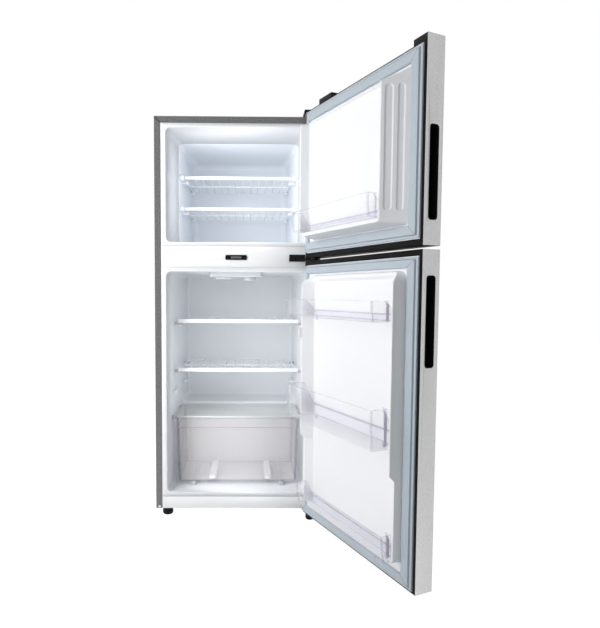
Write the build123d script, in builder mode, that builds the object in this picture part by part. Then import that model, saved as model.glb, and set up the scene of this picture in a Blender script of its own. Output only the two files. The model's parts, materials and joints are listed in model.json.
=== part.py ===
import os

from build123d import *

# A top freezer refrigerator, in millimetres, +Z up and +Y towards its back.
# The floor is Z = 0, the cabinet's front plane is Y = 0 and X = 0 is its middle.
# Both doors are hinged on the right and stand open at door_open_angle.

# Cabinet: the heights stack up from the sill to the top flange.
cabinet_width = 540.0
cabinet_depth = 505.0
foot_height = 25.0
sheet = 1.0
flange_width = 21.0
liner_border = 16.5
liner_wall = 2.0
base_panel_height = 39.0
fridge_sill = 55.0
fridge_opening_height = 733.0
fridge_lip = 16.5
mullion_cover_height = 66.0
freezer_lip = 14.0
freezer_opening_height = 366.0
top_border = 13.5
corner_radius = 14.0
fit = 0.2
foam_gap = 0.3

# Compartments
throat_depth = 100.0
throat_inset = 29.5
throat_head_inset = 26.0
freezer_box_depth = 305.0
freezer_box_taper = 18.0
fridge_depth = 440.0
fridge_taper = 18.5
hump_front = 300.0
hump_height = 245.0
machine_wall = 44.0

# Doors: thickness, where the hinge pin stands, and the gaps round them.
door_open_angle = 113.8
door_thickness = 54.0
door_standoff = 11.0
pin_from_side = 20.0
pin_forward = 38.0
pin_diameter = 10.0
pin_clearance = 0.08
door_bottom_gap = 2.2
door_gap = 8.8
gap_above_lip = 18.0
freezer_door_rise = 5.0
crown_height = 14.8
crown_start = 50.0
crown_block_start = 75.0
crown_block_end = 143.0
crown_end_block = 47.0
hinge_corner_radius = 22.0
free_corner_radius = 6.0
cap_height = 15.0
cap_wall = 8.0
edge_strip_width = 11.0
edge_strip_depth = 8.0
gasket_hinge_width = 18.0
gasket_free_width = 36.0
freezer_gasket_end_width = 31.0
fridge_gasket_end_width = 25.0
gasket_thickness = 9.0
gasket_side_inset = 10.0
gasket_end_inset = 17.0
gasket_sill_inset = 6.0
gasket_crown_inset = 5.0

# Recessed grips in the free edges of the doors
grip_width = 27.5
grip_length = 216.0
grip_depth = 30.0
grip_wall = 1.5
grip_radius = 8.0
grip_inset = 11.7
freezer_grip_low = 58.2
fridge_grip_below_top = 60.5

# Plugs moulded on the door liners: two side walls with a panel between them
freezer_plug_rise = 60.0
freezer_panel_rise = 32.0
freezer_plug_start = 33.0
freezer_plug_margin = 48.0
freezer_hinge_slope = 33.0
freezer_free_slope = 39.0
freezer_inner_slope = 9.0
fridge_plug_rise = 40.0
fridge_panel_rise = 4.0
fridge_plug_start = 36.0
fridge_plug_margin = 49.0
fridge_hinge_slope = 12.0
fridge_free_slope = 5.0
fridge_inner_slope = 18.0
crest_width = 5.0
plug_margin = 5.0
plug_end_slope = 16.0
plug_head_slope = 33.0
plug_end_wall = 18.0
plug_round = 30.0
plug_corner = 28.0
fridge_plug_sill = 25.0
ramp_level = 207.0
ramp_drop = 14.0
tab_below_top = 195.0
tab_height = 32.0
tab_rise = 10.0
lug_size = 12.0
lug_reach = 6.0

# Door bins: reach from the door's inner face, height and place
bin_wall = 2.4
bin_play = 0.3
bin_end_gap = 1.0
freezer_bin_reach = 90.0
freezer_bin_height = 57.0
egg_shelf_reach = 98.0
egg_shelf_height = 51.0
egg_shelf_below_top = 124.0
bottle_shelf_reach = 94.0
bottle_shelf_height = 100.0
bottle_shelf_level = 285.0
sauce_shelf_reach = 58.0
sauce_shelf_height = 70.0
sauce_shelf_level = 2.0

# Wire shelves and their front trims
wire = 3.0
frame_wire = 5.0
cross_wire = 4.2
wire_count = 12
trim_depth = 9.0
shelf_seat = 0.3
rest_length = 12.0
rest_height = 9.0
rest_front = 34.0
rest_rear = 34.0
freezer_shelf_front = 104.0
freezer_shelf_depth = 270.0
freezer_shelf_play = 2.3
# Shelf levels are shares of the compartment's height.
freezer_shelf_levels = (0.321, 0.609)
freezer_trim_height = 10.0
fridge_shelf_front = 95.0
fridge_shelf_depth = 310.0
fridge_shelf_play = 7.1
fridge_shelf_levels = (0.533, 0.765)
fridge_trim_height = 13.0

# Crisper: drawer, runners and glass cover
crisper_front = 63.0
drawer_play = 8.9
drawer_height = 222.0
drawer_draft = 5.5
drawer_wall = 2.5
drawer_back_gap = 13.0
runner_height = 13.0
runner_width = 14.0
runner_inset = 60.0
glass_thickness = 4.0
glass_play = 7.4
glass_above_drawer = 2.0
glass_trim_depth = 5.0
ledge_height = 8.0

# Controls
control_width = 180.0
control_depth = 170.0
control_height = 14.0
control_front = 30.0
control_x = -5.0
dial_diameter = 42.0
dial_height = 11.0
dial_gap = 0.3
spindle_diameter = 6.0
spindle_length = 6.0
lamp_width = 60.0
lamp_depth = 40.0
lamp_height = 7.0
switch_width = 70.0
switch_height = 16.0
switch_thickness = 3.0
switch_above_cover = 22.5
switch_x = -5.0
plunger_width = 34.0
plunger_height = 6.0
plunger_proud = 3.0
plunger_length = 9.0
plunger_clearance = 0.1

# Hinges, screws and feet
hinge_plate = 4.0
hinge_reach = 12.0
hinge_foot = 46.0
hinge_length = 50.0
hinge_cover_wall = 1.5
centre_plate_width = 70.0
centre_plate_height = 22.5
screw_head = 9.0
screw_head_height = 2.0
foot_diameter = 35.0
foot_side = 37.0
foot_back = 18.0
stud_diameter = 8.0
stud_clearance = 0.08
stud_length = 16.0
hinge_foot_diameter = 27.0
hinge_foot_side = 30.0
hinge_foot_forward = 26.0
rear_foot_inset = 38.0
rear_foot_back = 26.0

# Cooling system
compressor_diameter = 124.0
compressor_height = 135.0
compressor_round = 30.0
compressor_base = 3.0
compressor_plate_width = 190.0
compressor_plate_depth = 118.0
mount_diameter = 22.0
mount_height = 12.0
mount_inset = 16.0
relay_width = 24.0
relay_depth = 46.0
relay_height = 58.0
tray_width = 170.0
tray_depth = 110.0
tray_height = 26.0
tray_wall = 2.0
line_diameter = 8.0
line_bend = 18.0
line_reach = 34.0
line_low = 40.0
tube_diameter = 5.0
tube_slot = 7.0
tube_pitch = 70.0
tube_margin = 40.0

half_width = cabinet_width / 2
cabinet_bottom = foot_height
fridge_floor = cabinet_bottom + fridge_sill
fridge_ceiling = fridge_floor + fridge_opening_height
mullion_low = fridge_ceiling + fridge_lip
mullion_high = mullion_low + mullion_cover_height
freezer_floor = mullion_high + freezer_lip
freezer_head = freezer_floor + freezer_opening_height
cabinet_top = freezer_head + top_border + flange_width
border_half = half_width - flange_width
opening_half = border_half - liner_border
throat_half = opening_half - throat_inset
throat_head = freezer_head - throat_head_inset
freezer_back = throat_depth + freezer_box_depth
hump_top = fridge_floor + hump_height
machine_front = hump_front + machine_wall
machine_top = hump_top - machine_wall

pin_x = half_width - pin_from_side
pin_y = -pin_forward
pin_depth = pin_forward - door_standoff
door_split = mullion_low + gap_above_lip
fridge_door_low = cabinet_bottom + door_bottom_gap
fridge_door_high = door_split
freezer_door_low = door_split + door_gap
freezer_door_high = cabinet_top + freezer_door_rise
crown_top = freezer_door_high + crown_height
door_radii = (hinge_corner_radius, free_corner_radius)
core_inset = sheet + fit

os.makedirs("parts", exist_ok=True)


def save(block, label):
    """Name a finished piece and write it as its own file."""
    block.part.label = label
    export_step(block.part, f"parts/{label}.step")


def depth(y):
    """Upright plane at a depth behind the cabinet's front, X to the right and Z up."""
    return Plane.XZ.offset(-y)


def tapered_block(front_y, back_y, front, back, radius):
    """Solid between two upright rounded rectangles, each (half width, bottom, top)."""
    with BuildPart() as block:
        for y, (half, low, high) in ((front_y, front), (back_y, back)):
            with BuildSketch(depth(y)):
                with Locations((0, (low + high) / 2)):
                    RectangleRounded(2 * half, high - low, radius)
        loft()
    return block.part


def grown(section, grow):
    """A rounded rectangle (half width, bottom, top) made larger all round."""
    half, low, high = section
    return (half + grow, low - grow, high + grow)


freezer_mouth = (opening_half, freezer_floor, freezer_head)
freezer_throat = (throat_half, freezer_floor, throat_head)
freezer_rear = (throat_half - freezer_box_taper, freezer_floor, throat_head)
fridge_mouth = (opening_half, fridge_floor, fridge_ceiling)
fridge_rear = (opening_half - fridge_taper, fridge_floor, fridge_ceiling)


def throat_space(grow):
    """Room of the freezer's flared mouth, grown outwards."""
    return tapered_block(
        0, throat_depth, grown(freezer_mouth, grow), grown(freezer_throat, grow), corner_radius + grow
    )


def box_space(grow):
    """Room of the freezer's inner box, grown outwards."""
    return tapered_block(
        throat_depth,
        freezer_back + grow,
        grown(freezer_throat, grow),
        grown(freezer_rear, grow),
        corner_radius + grow,
    )


def fridge_space(grow):
    """Room of the fridge compartment with the step over the compressor, grown outwards."""
    with BuildPart() as space:
        add(
            tapered_block(
                0,
                fridge_depth + grow,
                grown(fridge_mouth, grow),
                grown(fridge_rear, grow),
                corner_radius + grow,
            )
        )
        with BuildSketch(depth(hump_front + grow)):
            with Locations((0, hump_top - grow)):
                Rectangle(cabinet_width, cabinet_depth, align=(Align.CENTER, Align.MAX))
        extrude(amount=-cabinet_depth, mode=Mode.SUBTRACT)
    return space.part


def freezer_wall(y):
    """Half width of the freezer's inner box at a depth."""
    return throat_half - freezer_box_taper * (y - throat_depth) / freezer_box_depth


def fridge_wall(y):
    """Half width of the fridge compartment at a depth."""
    return opening_half - fridge_taper * y / fridge_depth


# Cabinet wrapper: folded sheet over both sides and the top, with a front flange.
with BuildPart() as cabinet_wrapper:
    with BuildSketch(depth(0)):
        with Locations((0, cabinet_bottom)):
            Rectangle(cabinet_width, cabinet_top - cabinet_bottom, align=(Align.CENTER, Align.MIN))
            Rectangle(
                cabinet_width - 2 * sheet,
                cabinet_top - cabinet_bottom - sheet,
                align=(Align.CENTER, Align.MIN),
                mode=Mode.SUBTRACT,
            )
    extrude(amount=-cabinet_depth)
    with BuildSketch(depth(0)):
        with Locations((0, cabinet_bottom)):
            Rectangle(cabinet_width, cabinet_top - cabinet_bottom, align=(Align.CENTER, Align.MIN))
            Rectangle(
                2 * border_half,
                cabinet_top - cabinet_bottom - flange_width,
                align=(Align.CENTER, Align.MIN),
                mode=Mode.SUBTRACT,
            )
    extrude(amount=-sheet)
save(cabinet_wrapper, "cabinet_wrapper")

# Floor pan: bottom sheet that steps up over the machine compartment.
pan_half = half_width - sheet - fit
pan_front = liner_wall + fit
with BuildPart() as floor_pan:
    with BuildSketch(Plane.YZ.offset(-pan_half)):
        with BuildLine():
            Polyline(
                (pan_front, cabinet_bottom),
                (machine_front, cabinet_bottom),
                (machine_front, machine_top - sheet),
                (cabinet_depth, machine_top - sheet),
                (cabinet_depth, machine_top),
                (machine_front - sheet, machine_top),
                (machine_front - sheet, cabinet_bottom + sheet),
                (pan_front, cabinet_bottom + sheet),
                close=True,
            )
        make_face()
    extrude(amount=2 * pan_half)
    with Locations((-half_width + foot_side, foot_back, cabinet_bottom)):
        Cylinder(stud_diameter / 2 + stud_clearance, 4 * sheet, mode=Mode.SUBTRACT)
save(floor_pan, "floor_pan")

# Back panel: flat sheet that closes the foam above the machine compartment.
with BuildPart() as back_panel:
    with BuildSketch(depth(cabinet_depth - sheet)):
        with Locations((0, machine_top + fit)):
            Rectangle(
                2 * pan_half, cabinet_top - sheet - machine_top - 2 * fit, align=(Align.CENTER, Align.MIN)
            )
    extrude(amount=-sheet)
save(back_panel, "back_panel")

# Foam between the wrapper and the compartments; a slot at the back holds the condenser.
foam_back = cabinet_depth - sheet - fit - tube_slot
foam_clear = liner_wall + foam_gap
with BuildPart() as cabinet_insulation:
    with BuildSketch(depth(foam_clear)):
        with Locations((0, cabinet_bottom + sheet + foam_gap)):
            Rectangle(
                2 * (half_width - sheet - foam_gap),
                cabinet_top - cabinet_bottom - 2 * (sheet + foam_gap),
                align=(Align.CENTER, Align.MIN),
            )
    extrude(amount=foam_clear - foam_back)
    add(throat_space(foam_clear), mode=Mode.SUBTRACT)
    add(box_space(foam_clear), mode=Mode.SUBTRACT)
    add(fridge_space(foam_clear), mode=Mode.SUBTRACT)
    with BuildSketch(depth(machine_front - sheet - foam_gap)):
        with Locations((0, machine_top + foam_gap)):
            Rectangle(cabinet_width, cabinet_depth, align=(Align.CENTER, Align.MAX))
    extrude(amount=-cabinet_depth, mode=Mode.SUBTRACT)
    with Locations((-half_width + foot_side, foot_back, cabinet_bottom)):
        Cylinder(
            stud_diameter,
            2 * (stud_length + sheet),
            mode=Mode.SUBTRACT,
        )
    with Locations((switch_x, foam_clear, mullion_low + switch_above_cover + switch_height / 2)):
        Box(
            switch_width,
            4 * (plunger_length + switch_thickness),
            switch_height,
            mode=Mode.SUBTRACT,
        )
save(cabinet_insulation, "cabinet_insulation")

# Freezer liner: front border and the flared mouth of the freezer.
with BuildPart() as freezer_liner:
    with BuildSketch(depth(0)):
        with Locations((0, mullion_high + fit)):
            Rectangle(
                2 * (border_half - fit),
                cabinet_top - flange_width - mullion_high - 2 * fit,
                align=(Align.CENTER, Align.MIN),
            )
    extrude(amount=-liner_wall)
    add(throat_space(liner_wall))
    add(throat_space(0), mode=Mode.SUBTRACT)
    with BuildSketch(depth(throat_depth)):
        with Locations((0, freezer_floor)):
            Rectangle(cabinet_width, cabinet_depth)
    extrude(amount=-liner_wall, mode=Mode.SUBTRACT)
save(freezer_liner, "freezer_liner")

# Freezer box: tapered inner box that closes the freezer at the back.
with BuildPart() as freezer_box:
    add(box_space(liner_wall))
    add(box_space(0), mode=Mode.SUBTRACT)
save(freezer_box, "freezer_box")

# Fridge liner: front border and the deep compartment with its step.
with BuildPart() as fridge_liner:
    with BuildSketch(depth(0)):
        with Locations((0, cabinet_bottom + base_panel_height + fit)):
            Rectangle(
                2 * (border_half - fit),
                mullion_low - cabinet_bottom - base_panel_height - 2 * fit,
                align=(Align.CENTER, Align.MIN),
            )
    extrude(amount=-liner_wall)
    add(fridge_space(liner_wall))
    add(fridge_space(0), mode=Mode.SUBTRACT)
save(fridge_liner, "fridge_liner")

# Mullion cover: plate between the two compartments, with a slot for the switch.
switch_level = mullion_low + switch_above_cover + switch_height / 2
with BuildPart() as mullion_cover:
    with BuildSketch(depth(0)):
        with Locations((0, mullion_low)):
            Rectangle(2 * (border_half - fit), mullion_cover_height, align=(Align.CENTER, Align.MIN))
        with Locations((switch_x, switch_level)):
            Rectangle(
                plunger_width + 4 * plunger_clearance,
                plunger_height + 4 * plunger_clearance,
                mode=Mode.SUBTRACT,
            )
    extrude(amount=-liner_wall)
save(mullion_cover, "mullion_cover")

# Base panel: kick plate under the fridge compartment.
with BuildPart() as base_panel:
    with BuildSketch(depth(0)):
        with Locations((0, cabinet_bottom)):
            Rectangle(2 * (border_half - fit), base_panel_height, align=(Align.CENTER, Align.MIN))
    extrude(amount=-liner_wall)
save(base_panel, "base_panel")

# Light switch: housing screwed to the mullion cover, and its sprung plunger.
with BuildPart() as switch_housing:
    with BuildSketch(depth(0)):
        with Locations((switch_x, switch_level)):
            RectangleRounded(switch_width, switch_height, switch_height / 4)
            Rectangle(
                plunger_width + 2 * plunger_clearance,
                plunger_height + 2 * plunger_clearance,
                mode=Mode.SUBTRACT,
            )
    extrude(amount=switch_thickness)
save(switch_housing, "switch_housing")

with BuildPart() as switch_plunger:
    with BuildSketch(depth(-switch_thickness - plunger_proud)):
        with Locations((switch_x, switch_level)):
            RectangleRounded(plunger_width, plunger_height, plunger_height / 4)
    extrude(amount=-plunger_length)
save(switch_plunger, "switch_plunger")

# Top hinge: plate on the cabinet's top that carries the freezer door's upper pin.
plate_low = freezer_door_high + screw_head_height / 2
hinge_centre = pin_x + hinge_reach - hinge_foot / 2
with BuildPart() as top_hinge:
    with BuildSketch(Plane.XY.offset(plate_low)):
        with Locations((pin_x, pin_y)):
            Circle(hinge_reach)
        with Locations((hinge_centre, 0)):
            Rectangle(hinge_foot, hinge_length, align=(Align.CENTER, Align.MIN))
        make_hull()
    extrude(amount=hinge_plate)
    with BuildSketch(Plane.XY.offset(cabinet_top)):
        with Locations((hinge_centre, 0)):
            Rectangle(hinge_foot, hinge_length, align=(Align.CENTER, Align.MIN))
    extrude(amount=plate_low - cabinet_top)
    with BuildSketch(Plane.XY.offset(plate_low)):
        with Locations((pin_x, pin_y)):
            Circle(pin_diameter / 2)
    extrude(amount=-cap_height)
save(top_hinge, "top_hinge")

# Top hinge cover: cap over the hinge plate and its screws.
cover_half = hinge_foot / 2 + 2 * hinge_cover_wall
cover_low = plate_low + hinge_plate + fit
with BuildPart() as top_hinge_cover:
    with BuildSketch(Plane.XY.offset(cover_low)):
        with Locations((hinge_centre, -hinge_reach)):
            Rectangle(
                2 * cover_half,
                hinge_length + hinge_reach + 2 * hinge_cover_wall,
                align=(Align.CENTER, Align.MIN),
            )
    extrude(amount=crown_top - cover_low)
    fillet(top_hinge_cover.edges().group_by(Axis.Z)[-1], radius=hinge_cover_wall)
    with BuildSketch(Plane.XY.offset(cover_low)):
        with Locations((hinge_centre, 0)):
            Rectangle(hinge_foot, hinge_length, align=(Align.CENTER, Align.MIN))
    extrude(amount=2 * screw_head_height, mode=Mode.SUBTRACT)
    with BuildSketch(Plane.XY.offset(cabinet_top)):
        with Locations((hinge_centre, hinge_cover_wall)):
            Rectangle(
                2 * cover_half, hinge_length + hinge_cover_wall, align=(Align.CENTER, Align.MIN)
            )
            Rectangle(
                hinge_foot + 2 * fit,
                hinge_length - hinge_cover_wall + fit,
                align=(Align.CENTER, Align.MIN),
                mode=Mode.SUBTRACT,
            )
    extrude(amount=cover_low - cabinet_top)
save(top_hinge_cover, "top_hinge_cover")

# Centre hinge: plate on the mullion, an arm between the doors and a pin for both.
arm_low = door_split + (door_gap - hinge_plate) / 2
centre_plate_low = door_split
centre_plate_middle = pin_x - hinge_reach - centre_plate_width / 2
with BuildPart() as centre_hinge:
    with BuildSketch(depth(0)):
        with Locations((centre_plate_middle, centre_plate_low)):
            Rectangle(centre_plate_width, centre_plate_height, align=(Align.CENTER, Align.MIN))
    extrude(amount=hinge_plate)
    with BuildSketch(Plane.XY.offset(arm_low)):
        with Locations((pin_x, pin_y)):
            Circle(hinge_reach)
        with Locations((pin_x - hinge_reach, 0)):
            Rectangle(centre_plate_width / 2, hinge_plate, align=(Align.MAX, Align.MAX))
        make_hull()
    extrude(amount=hinge_plate)
    with BuildSketch(Plane.XY.offset(arm_low - cap_height)):
        with Locations((pin_x, pin_y)):
            Circle(pin_diameter / 2)
    extrude(amount=2 * cap_height + hinge_plate)
save(centre_hinge, "centre_hinge")

# Bottom hinge: plate under the cabinet with the fridge door's lower pin and a foot.
foot_x = half_width - hinge_foot_side
foot_y = -hinge_foot_forward
with BuildPart() as bottom_hinge:
    with BuildSketch(Plane.XY.offset(cabinet_bottom - hinge_plate)):
        with Locations((pin_x, pin_y)):
            Circle(hinge_reach)
        with Locations((hinge_centre, 0)):
            Rectangle(hinge_foot, hinge_length, align=(Align.CENTER, Align.MIN))
        make_hull()
        with Locations((foot_x, foot_y)):
            Circle(stud_diameter / 2 + stud_clearance, mode=Mode.SUBTRACT)
    extrude(amount=hinge_plate)
    with BuildSketch(Plane.XY.offset(cabinet_bottom)):
        with Locations((pin_x, pin_y)):
            Circle(pin_diameter / 2)
    extrude(amount=door_bottom_gap + cap_height - sheet)
save(bottom_hinge, "bottom_hinge")

# Screws of the hinge plates and of the switch housing.
with BuildPart() as hinge_screws:
    with BuildSketch(Plane.XY.offset(plate_low + hinge_plate)):
        with Locations((hinge_centre, hinge_length / 2)):
            with GridLocations(hinge_foot / 2, hinge_length / 2, 2, 2):
                Circle(screw_head / 2)
    extrude(amount=screw_head_height)
    with BuildSketch(depth(-hinge_plate)):
        with Locations((centre_plate_middle, centre_plate_low + centre_plate_height / 2)):
            with GridLocations(centre_plate_width / 2, centre_plate_height, 2, 1):
                Circle(screw_head / 2)
    extrude(amount=screw_head_height)
    with BuildSketch(depth(-switch_thickness)):
        with Locations((switch_x, switch_level)):
            with GridLocations(switch_width - switch_height, switch_height, 2, 1):
                Circle(screw_head / 3)
    extrude(amount=screw_head_height / 2)
save(hinge_screws, "hinge_screws")


def levelling_foot(x, y, diameter, seat, stud_top):
    """Screw foot: a round pad with a stud that stands in the plate above it."""
    with BuildPart() as foot:
        with BuildSketch():
            with Locations((x, y)):
                Circle(diameter / 2)
        extrude(amount=seat - fit)
        fillet(foot.edges().group_by(Axis.Z)[0], radius=diameter / 5)
        with BuildSketch(Plane.XY.offset(seat - fit)):
            with Locations((x, y)):
                Circle(stud_diameter / 2)
        extrude(amount=stud_top - seat + fit)
    return foot


front_left_foot = levelling_foot(
    -half_width + foot_side, foot_back, foot_diameter, cabinet_bottom, cabinet_bottom + stud_length
)
save(front_left_foot, "front_left_foot")
front_right_foot = levelling_foot(
    foot_x, foot_y, hinge_foot_diameter, cabinet_bottom - hinge_plate, cabinet_bottom
)
save(front_right_foot, "front_right_foot")

# Compressor tray: bottom of the machine compartment, with two fixed rear feet.
machine_middle = (machine_front + cabinet_depth) / 2
tray_front = machine_front + fit
with BuildPart() as compressor_tray:
    with BuildSketch(Plane.XY.offset(cabinet_bottom)):
        with Locations((0, tray_front)):
            Rectangle(2 * pan_half, cabinet_depth - tray_front, align=(Align.CENTER, Align.MIN))
    extrude(amount=liner_wall)
save(compressor_tray, "compressor_tray")

with BuildPart() as rear_feet:
    with BuildSketch():
        with Locations((0, cabinet_depth - rear_foot_back)):
            with GridLocations(cabinet_width - 2 * rear_foot_inset, 1, 2, 1):
                Circle(foot_diameter / 2)
    extrude(amount=foot_height)
    fillet(rear_feet.edges().group_by(Axis.Z)[0], radius=foot_diameter / 5)
save(rear_feet, "rear_feet")

# Compressor on four rubber mounts, with its relay cover and the drip tray on top.
mount_low = cabinet_bottom + liner_wall
compressor_low = mount_low + mount_height
with BuildPart() as compressor_mounts:
    with BuildSketch(Plane.XY.offset(mount_low)):
        with Locations((0, machine_middle)):
            with GridLocations(
                compressor_plate_width - 2 * mount_inset, compressor_plate_depth - 2 * mount_inset, 2, 2
            ):
                Circle(mount_diameter / 2)
    extrude(amount=mount_height)
save(compressor_mounts, "compressor_mounts")

with BuildPart() as compressor:
    with BuildSketch(Plane.XY.offset(compressor_low + compressor_base)):
        with Locations((0, machine_middle)):
            Circle(compressor_diameter / 2)
    extrude(amount=compressor_height)
    fillet(compressor.edges().group_by(Axis.Z)[-1], radius=compressor_round)
    with BuildSketch(Plane.XY.offset(compressor_low)):
        with Locations((0, machine_middle)):
            RectangleRounded(compressor_plate_width, compressor_plate_depth, mount_inset)
    extrude(amount=compressor_base)
save(compressor, "compressor")

with BuildPart() as relay_cover:
    with BuildSketch(Plane.XY.offset(compressor_low + compressor_base)):
        with Locations((compressor_diameter / 2 + fit, machine_middle)):
            Rectangle(relay_width, relay_depth, align=(Align.MIN, Align.CENTER))
    extrude(amount=relay_height)
    fillet(relay_cover.edges().filter_by(Axis.Z), radius=tray_wall)
save(relay_cover, "relay_cover")

tray_low = compressor_low + compressor_base + compressor_height + fit
with BuildPart() as drip_tray:
    with BuildSketch(Plane.XY.offset(tray_low)):
        with Locations((0, machine_middle)):
            RectangleRounded(tray_width, tray_depth, 4 * tray_wall)
    extrude(amount=tray_height)
    with BuildSketch(Plane.XY.offset(tray_low + tray_wall)):
        with Locations((0, machine_middle)):
            RectangleRounded(tray_width - 2 * tray_wall, tray_depth - 2 * tray_wall, 3 * tray_wall)
    extrude(amount=tray_height, mode=Mode.SUBTRACT)
save(drip_tray, "drip_tray")

# Suction line: tube from the compressor's side up to the pan above it.
line_level = compressor_low + compressor_base + line_low
line_start = -compressor_diameter / 2 - fit
with BuildPart() as suction_line:
    with BuildLine(Plane.XZ.offset(-machine_middle)) as line_path:
        FilletPolyline(
            (line_start, line_level),
            (line_start - line_reach, line_level),
            (line_start - line_reach, machine_top - sheet - fit),
            radius=line_bend,
        )
    with BuildSketch(Plane(origin=line_path.line @ 0, z_dir=line_path.line % 0)):
        Circle(line_diameter / 2)
    sweep(path=line_path.line)
save(suction_line, "suction_line")


def serpentine(half, low, high, pitch):
    """Corner points of a tube that runs to and fro between two heights."""
    passes = int((high - low) / pitch)
    points = []
    for row in range(passes + 1):
        side = half if row % 2 else -half
        points.append((side, low + row * pitch))
        points.append((-side, low + row * pitch))
    return points


# Condenser tube: bonded to the inside of the back panel.
condenser_y = cabinet_depth - sheet - fit - tube_diameter / 2
with BuildPart() as condenser_tube:
    with BuildLine(depth(condenser_y)) as condenser_path:
        FilletPolyline(
            *serpentine(
                pan_half - tube_margin, machine_top + tube_margin, cabinet_top - tube_margin, tube_pitch
            ),
            radius=tube_pitch / 2 - tube_diameter / 2,
        )
    with BuildSketch(Plane(origin=condenser_path.line @ 0, z_dir=condenser_path.line % 0)):
        Circle(tube_diameter / 2)
    sweep(path=condenser_path.line)
save(condenser_tube, "condenser_tube")


def wire_shelf(name, front, length, half, level, trim_height):
    """Wire grid with a plastic trim along its front edge."""
    grid_front = front + trim_depth
    with BuildPart() as trim:
        with BuildSketch(Plane.XY.offset(level)):
            with Locations((0, front)):
                Rectangle(2 * half, trim_depth, align=(Align.CENTER, Align.MIN))
        extrude(amount=trim_height)
        fillet(trim.edges().filter_by(Axis.X).sort_by(Axis.Y)[:2], radius=trim_depth / 3)
    save(trim, f"{name}_trim")
    rail_z = level + frame_wire / 2
    with BuildPart() as grid:
        with BuildSketch(depth(grid_front)):
            with Locations((0, rail_z)):
                with GridLocations(2 * half - frame_wire, 1, 2, 1):
                    Circle(frame_wire / 2)
            with Locations((0, rail_z + frame_wire / 2)):
                with GridLocations((2 * half - frame_wire) / (wire_count + 1), 1, wire_count, 1):
                    Circle(wire / 2)
        extrude(amount=-length)
        with BuildSketch(Plane.YZ.offset(-half + frame_wire / 2)):
            with Locations((grid_front + length / 2, rail_z)):
                with GridLocations((length - 2 * frame_wire) / 2, 1, 3, 1):
                    Circle(cross_wire / 2)
        extrude(amount=2 * half - frame_wire)
    save(grid, f"{name}_wires")


def shelf_rests(wall, front, length, half, levels, floor):
    """Small blocks on both side walls under the ends of each wire shelf."""
    with BuildPart() as rests:
        for level in levels:
            top = floor + level - shelf_seat
            for y in (front + trim_depth + rest_front, front + length - rest_rear):
                outer = wall(y + rest_length) - fit
                inner = half - 2 * frame_wire
                with BuildSketch(Plane.XY.offset(top)):
                    with Locations((outer, y), (-inner, y)):
                        Rectangle(outer - inner, rest_length, align=(Align.MAX, Align.MIN))
                extrude(amount=-rest_height)
    return rests.part


freezer_shelf_half = freezer_wall(freezer_shelf_front + trim_depth + freezer_shelf_depth) - freezer_shelf_play
freezer_shelf_heights = [freezer_opening_height * share for share in freezer_shelf_levels]
for place, level in zip(("lower", "upper"), freezer_shelf_heights):
    wire_shelf(
        f"freezer_shelf_{place}",
        freezer_shelf_front,
        freezer_shelf_depth,
        freezer_shelf_half,
        freezer_floor + level,
        freezer_trim_height,
    )
with BuildPart() as freezer_shelf_rests:
    add(
        shelf_rests(
            freezer_wall,
            freezer_shelf_front,
            freezer_shelf_depth,
            freezer_shelf_half,
            freezer_shelf_heights,
            freezer_floor,
        )
    )
save(freezer_shelf_rests, "freezer_shelf_rests")
fridge_shelf_half = fridge_wall(fridge_shelf_front + trim_depth + fridge_shelf_depth) - fridge_shelf_play
fridge_shelf_heights = [fridge_opening_height * share for share in fridge_shelf_levels]
for place, level in zip(("lower", "upper"), fridge_shelf_heights):
    wire_shelf(
        f"fridge_shelf_{place}",
        fridge_shelf_front,
        fridge_shelf_depth,
        fridge_shelf_half,
        fridge_floor + level,
        fridge_trim_height,
    )

# Crisper drawer: clear box with drafted sides.
drawer_low = fridge_floor + runner_height
drawer_back = hump_front - drawer_back_gap
drawer_half = fridge_wall(drawer_back) - drawer_play
drawer_top = drawer_low + drawer_height
with BuildPart() as crisper_drawer:
    for grow, low in ((0, drawer_low), (-drawer_wall, drawer_low + drawer_wall)):
        for z, spread in ((low, 0), (drawer_top, drawer_draft)):
            with BuildSketch(Plane.XY.offset(z)):
                with Locations((0, (crisper_front + drawer_back) / 2)):
                    RectangleRounded(
                        2 * (drawer_half - drawer_draft + spread + grow),
                        drawer_back - crisper_front - drawer_draft + spread + 2 * grow,
                        3 * drawer_wall + grow,
                    )
        loft(mode=Mode.SUBTRACT if grow else Mode.ADD)
save(crisper_drawer, "crisper_drawer")

# Crisper cover: glass plate with a front trim, on ledges of the side walls.
glass_low = drawer_top + glass_above_drawer
glass_half = fridge_wall(drawer_back) - glass_play
glass_front = crisper_front + glass_trim_depth
with BuildPart() as crisper_glass:
    with BuildSketch(Plane.XY.offset(glass_low)):
        with Locations((0, glass_front)):
            Rectangle(2 * glass_half, drawer_back - glass_front, align=(Align.CENTER, Align.MIN))
    extrude(amount=glass_thickness)
save(crisper_glass, "crisper_glass")

with BuildPart() as crisper_glass_trim:
    with BuildSketch(Plane.XY.offset(glass_low - fit)):
        with Locations((0, crisper_front)):
            Rectangle(2 * glass_half, glass_trim_depth, align=(Align.CENTER, Align.MIN))
    extrude(amount=glass_thickness + 2 * fit)
save(crisper_glass_trim, "crisper_glass_trim")

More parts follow.
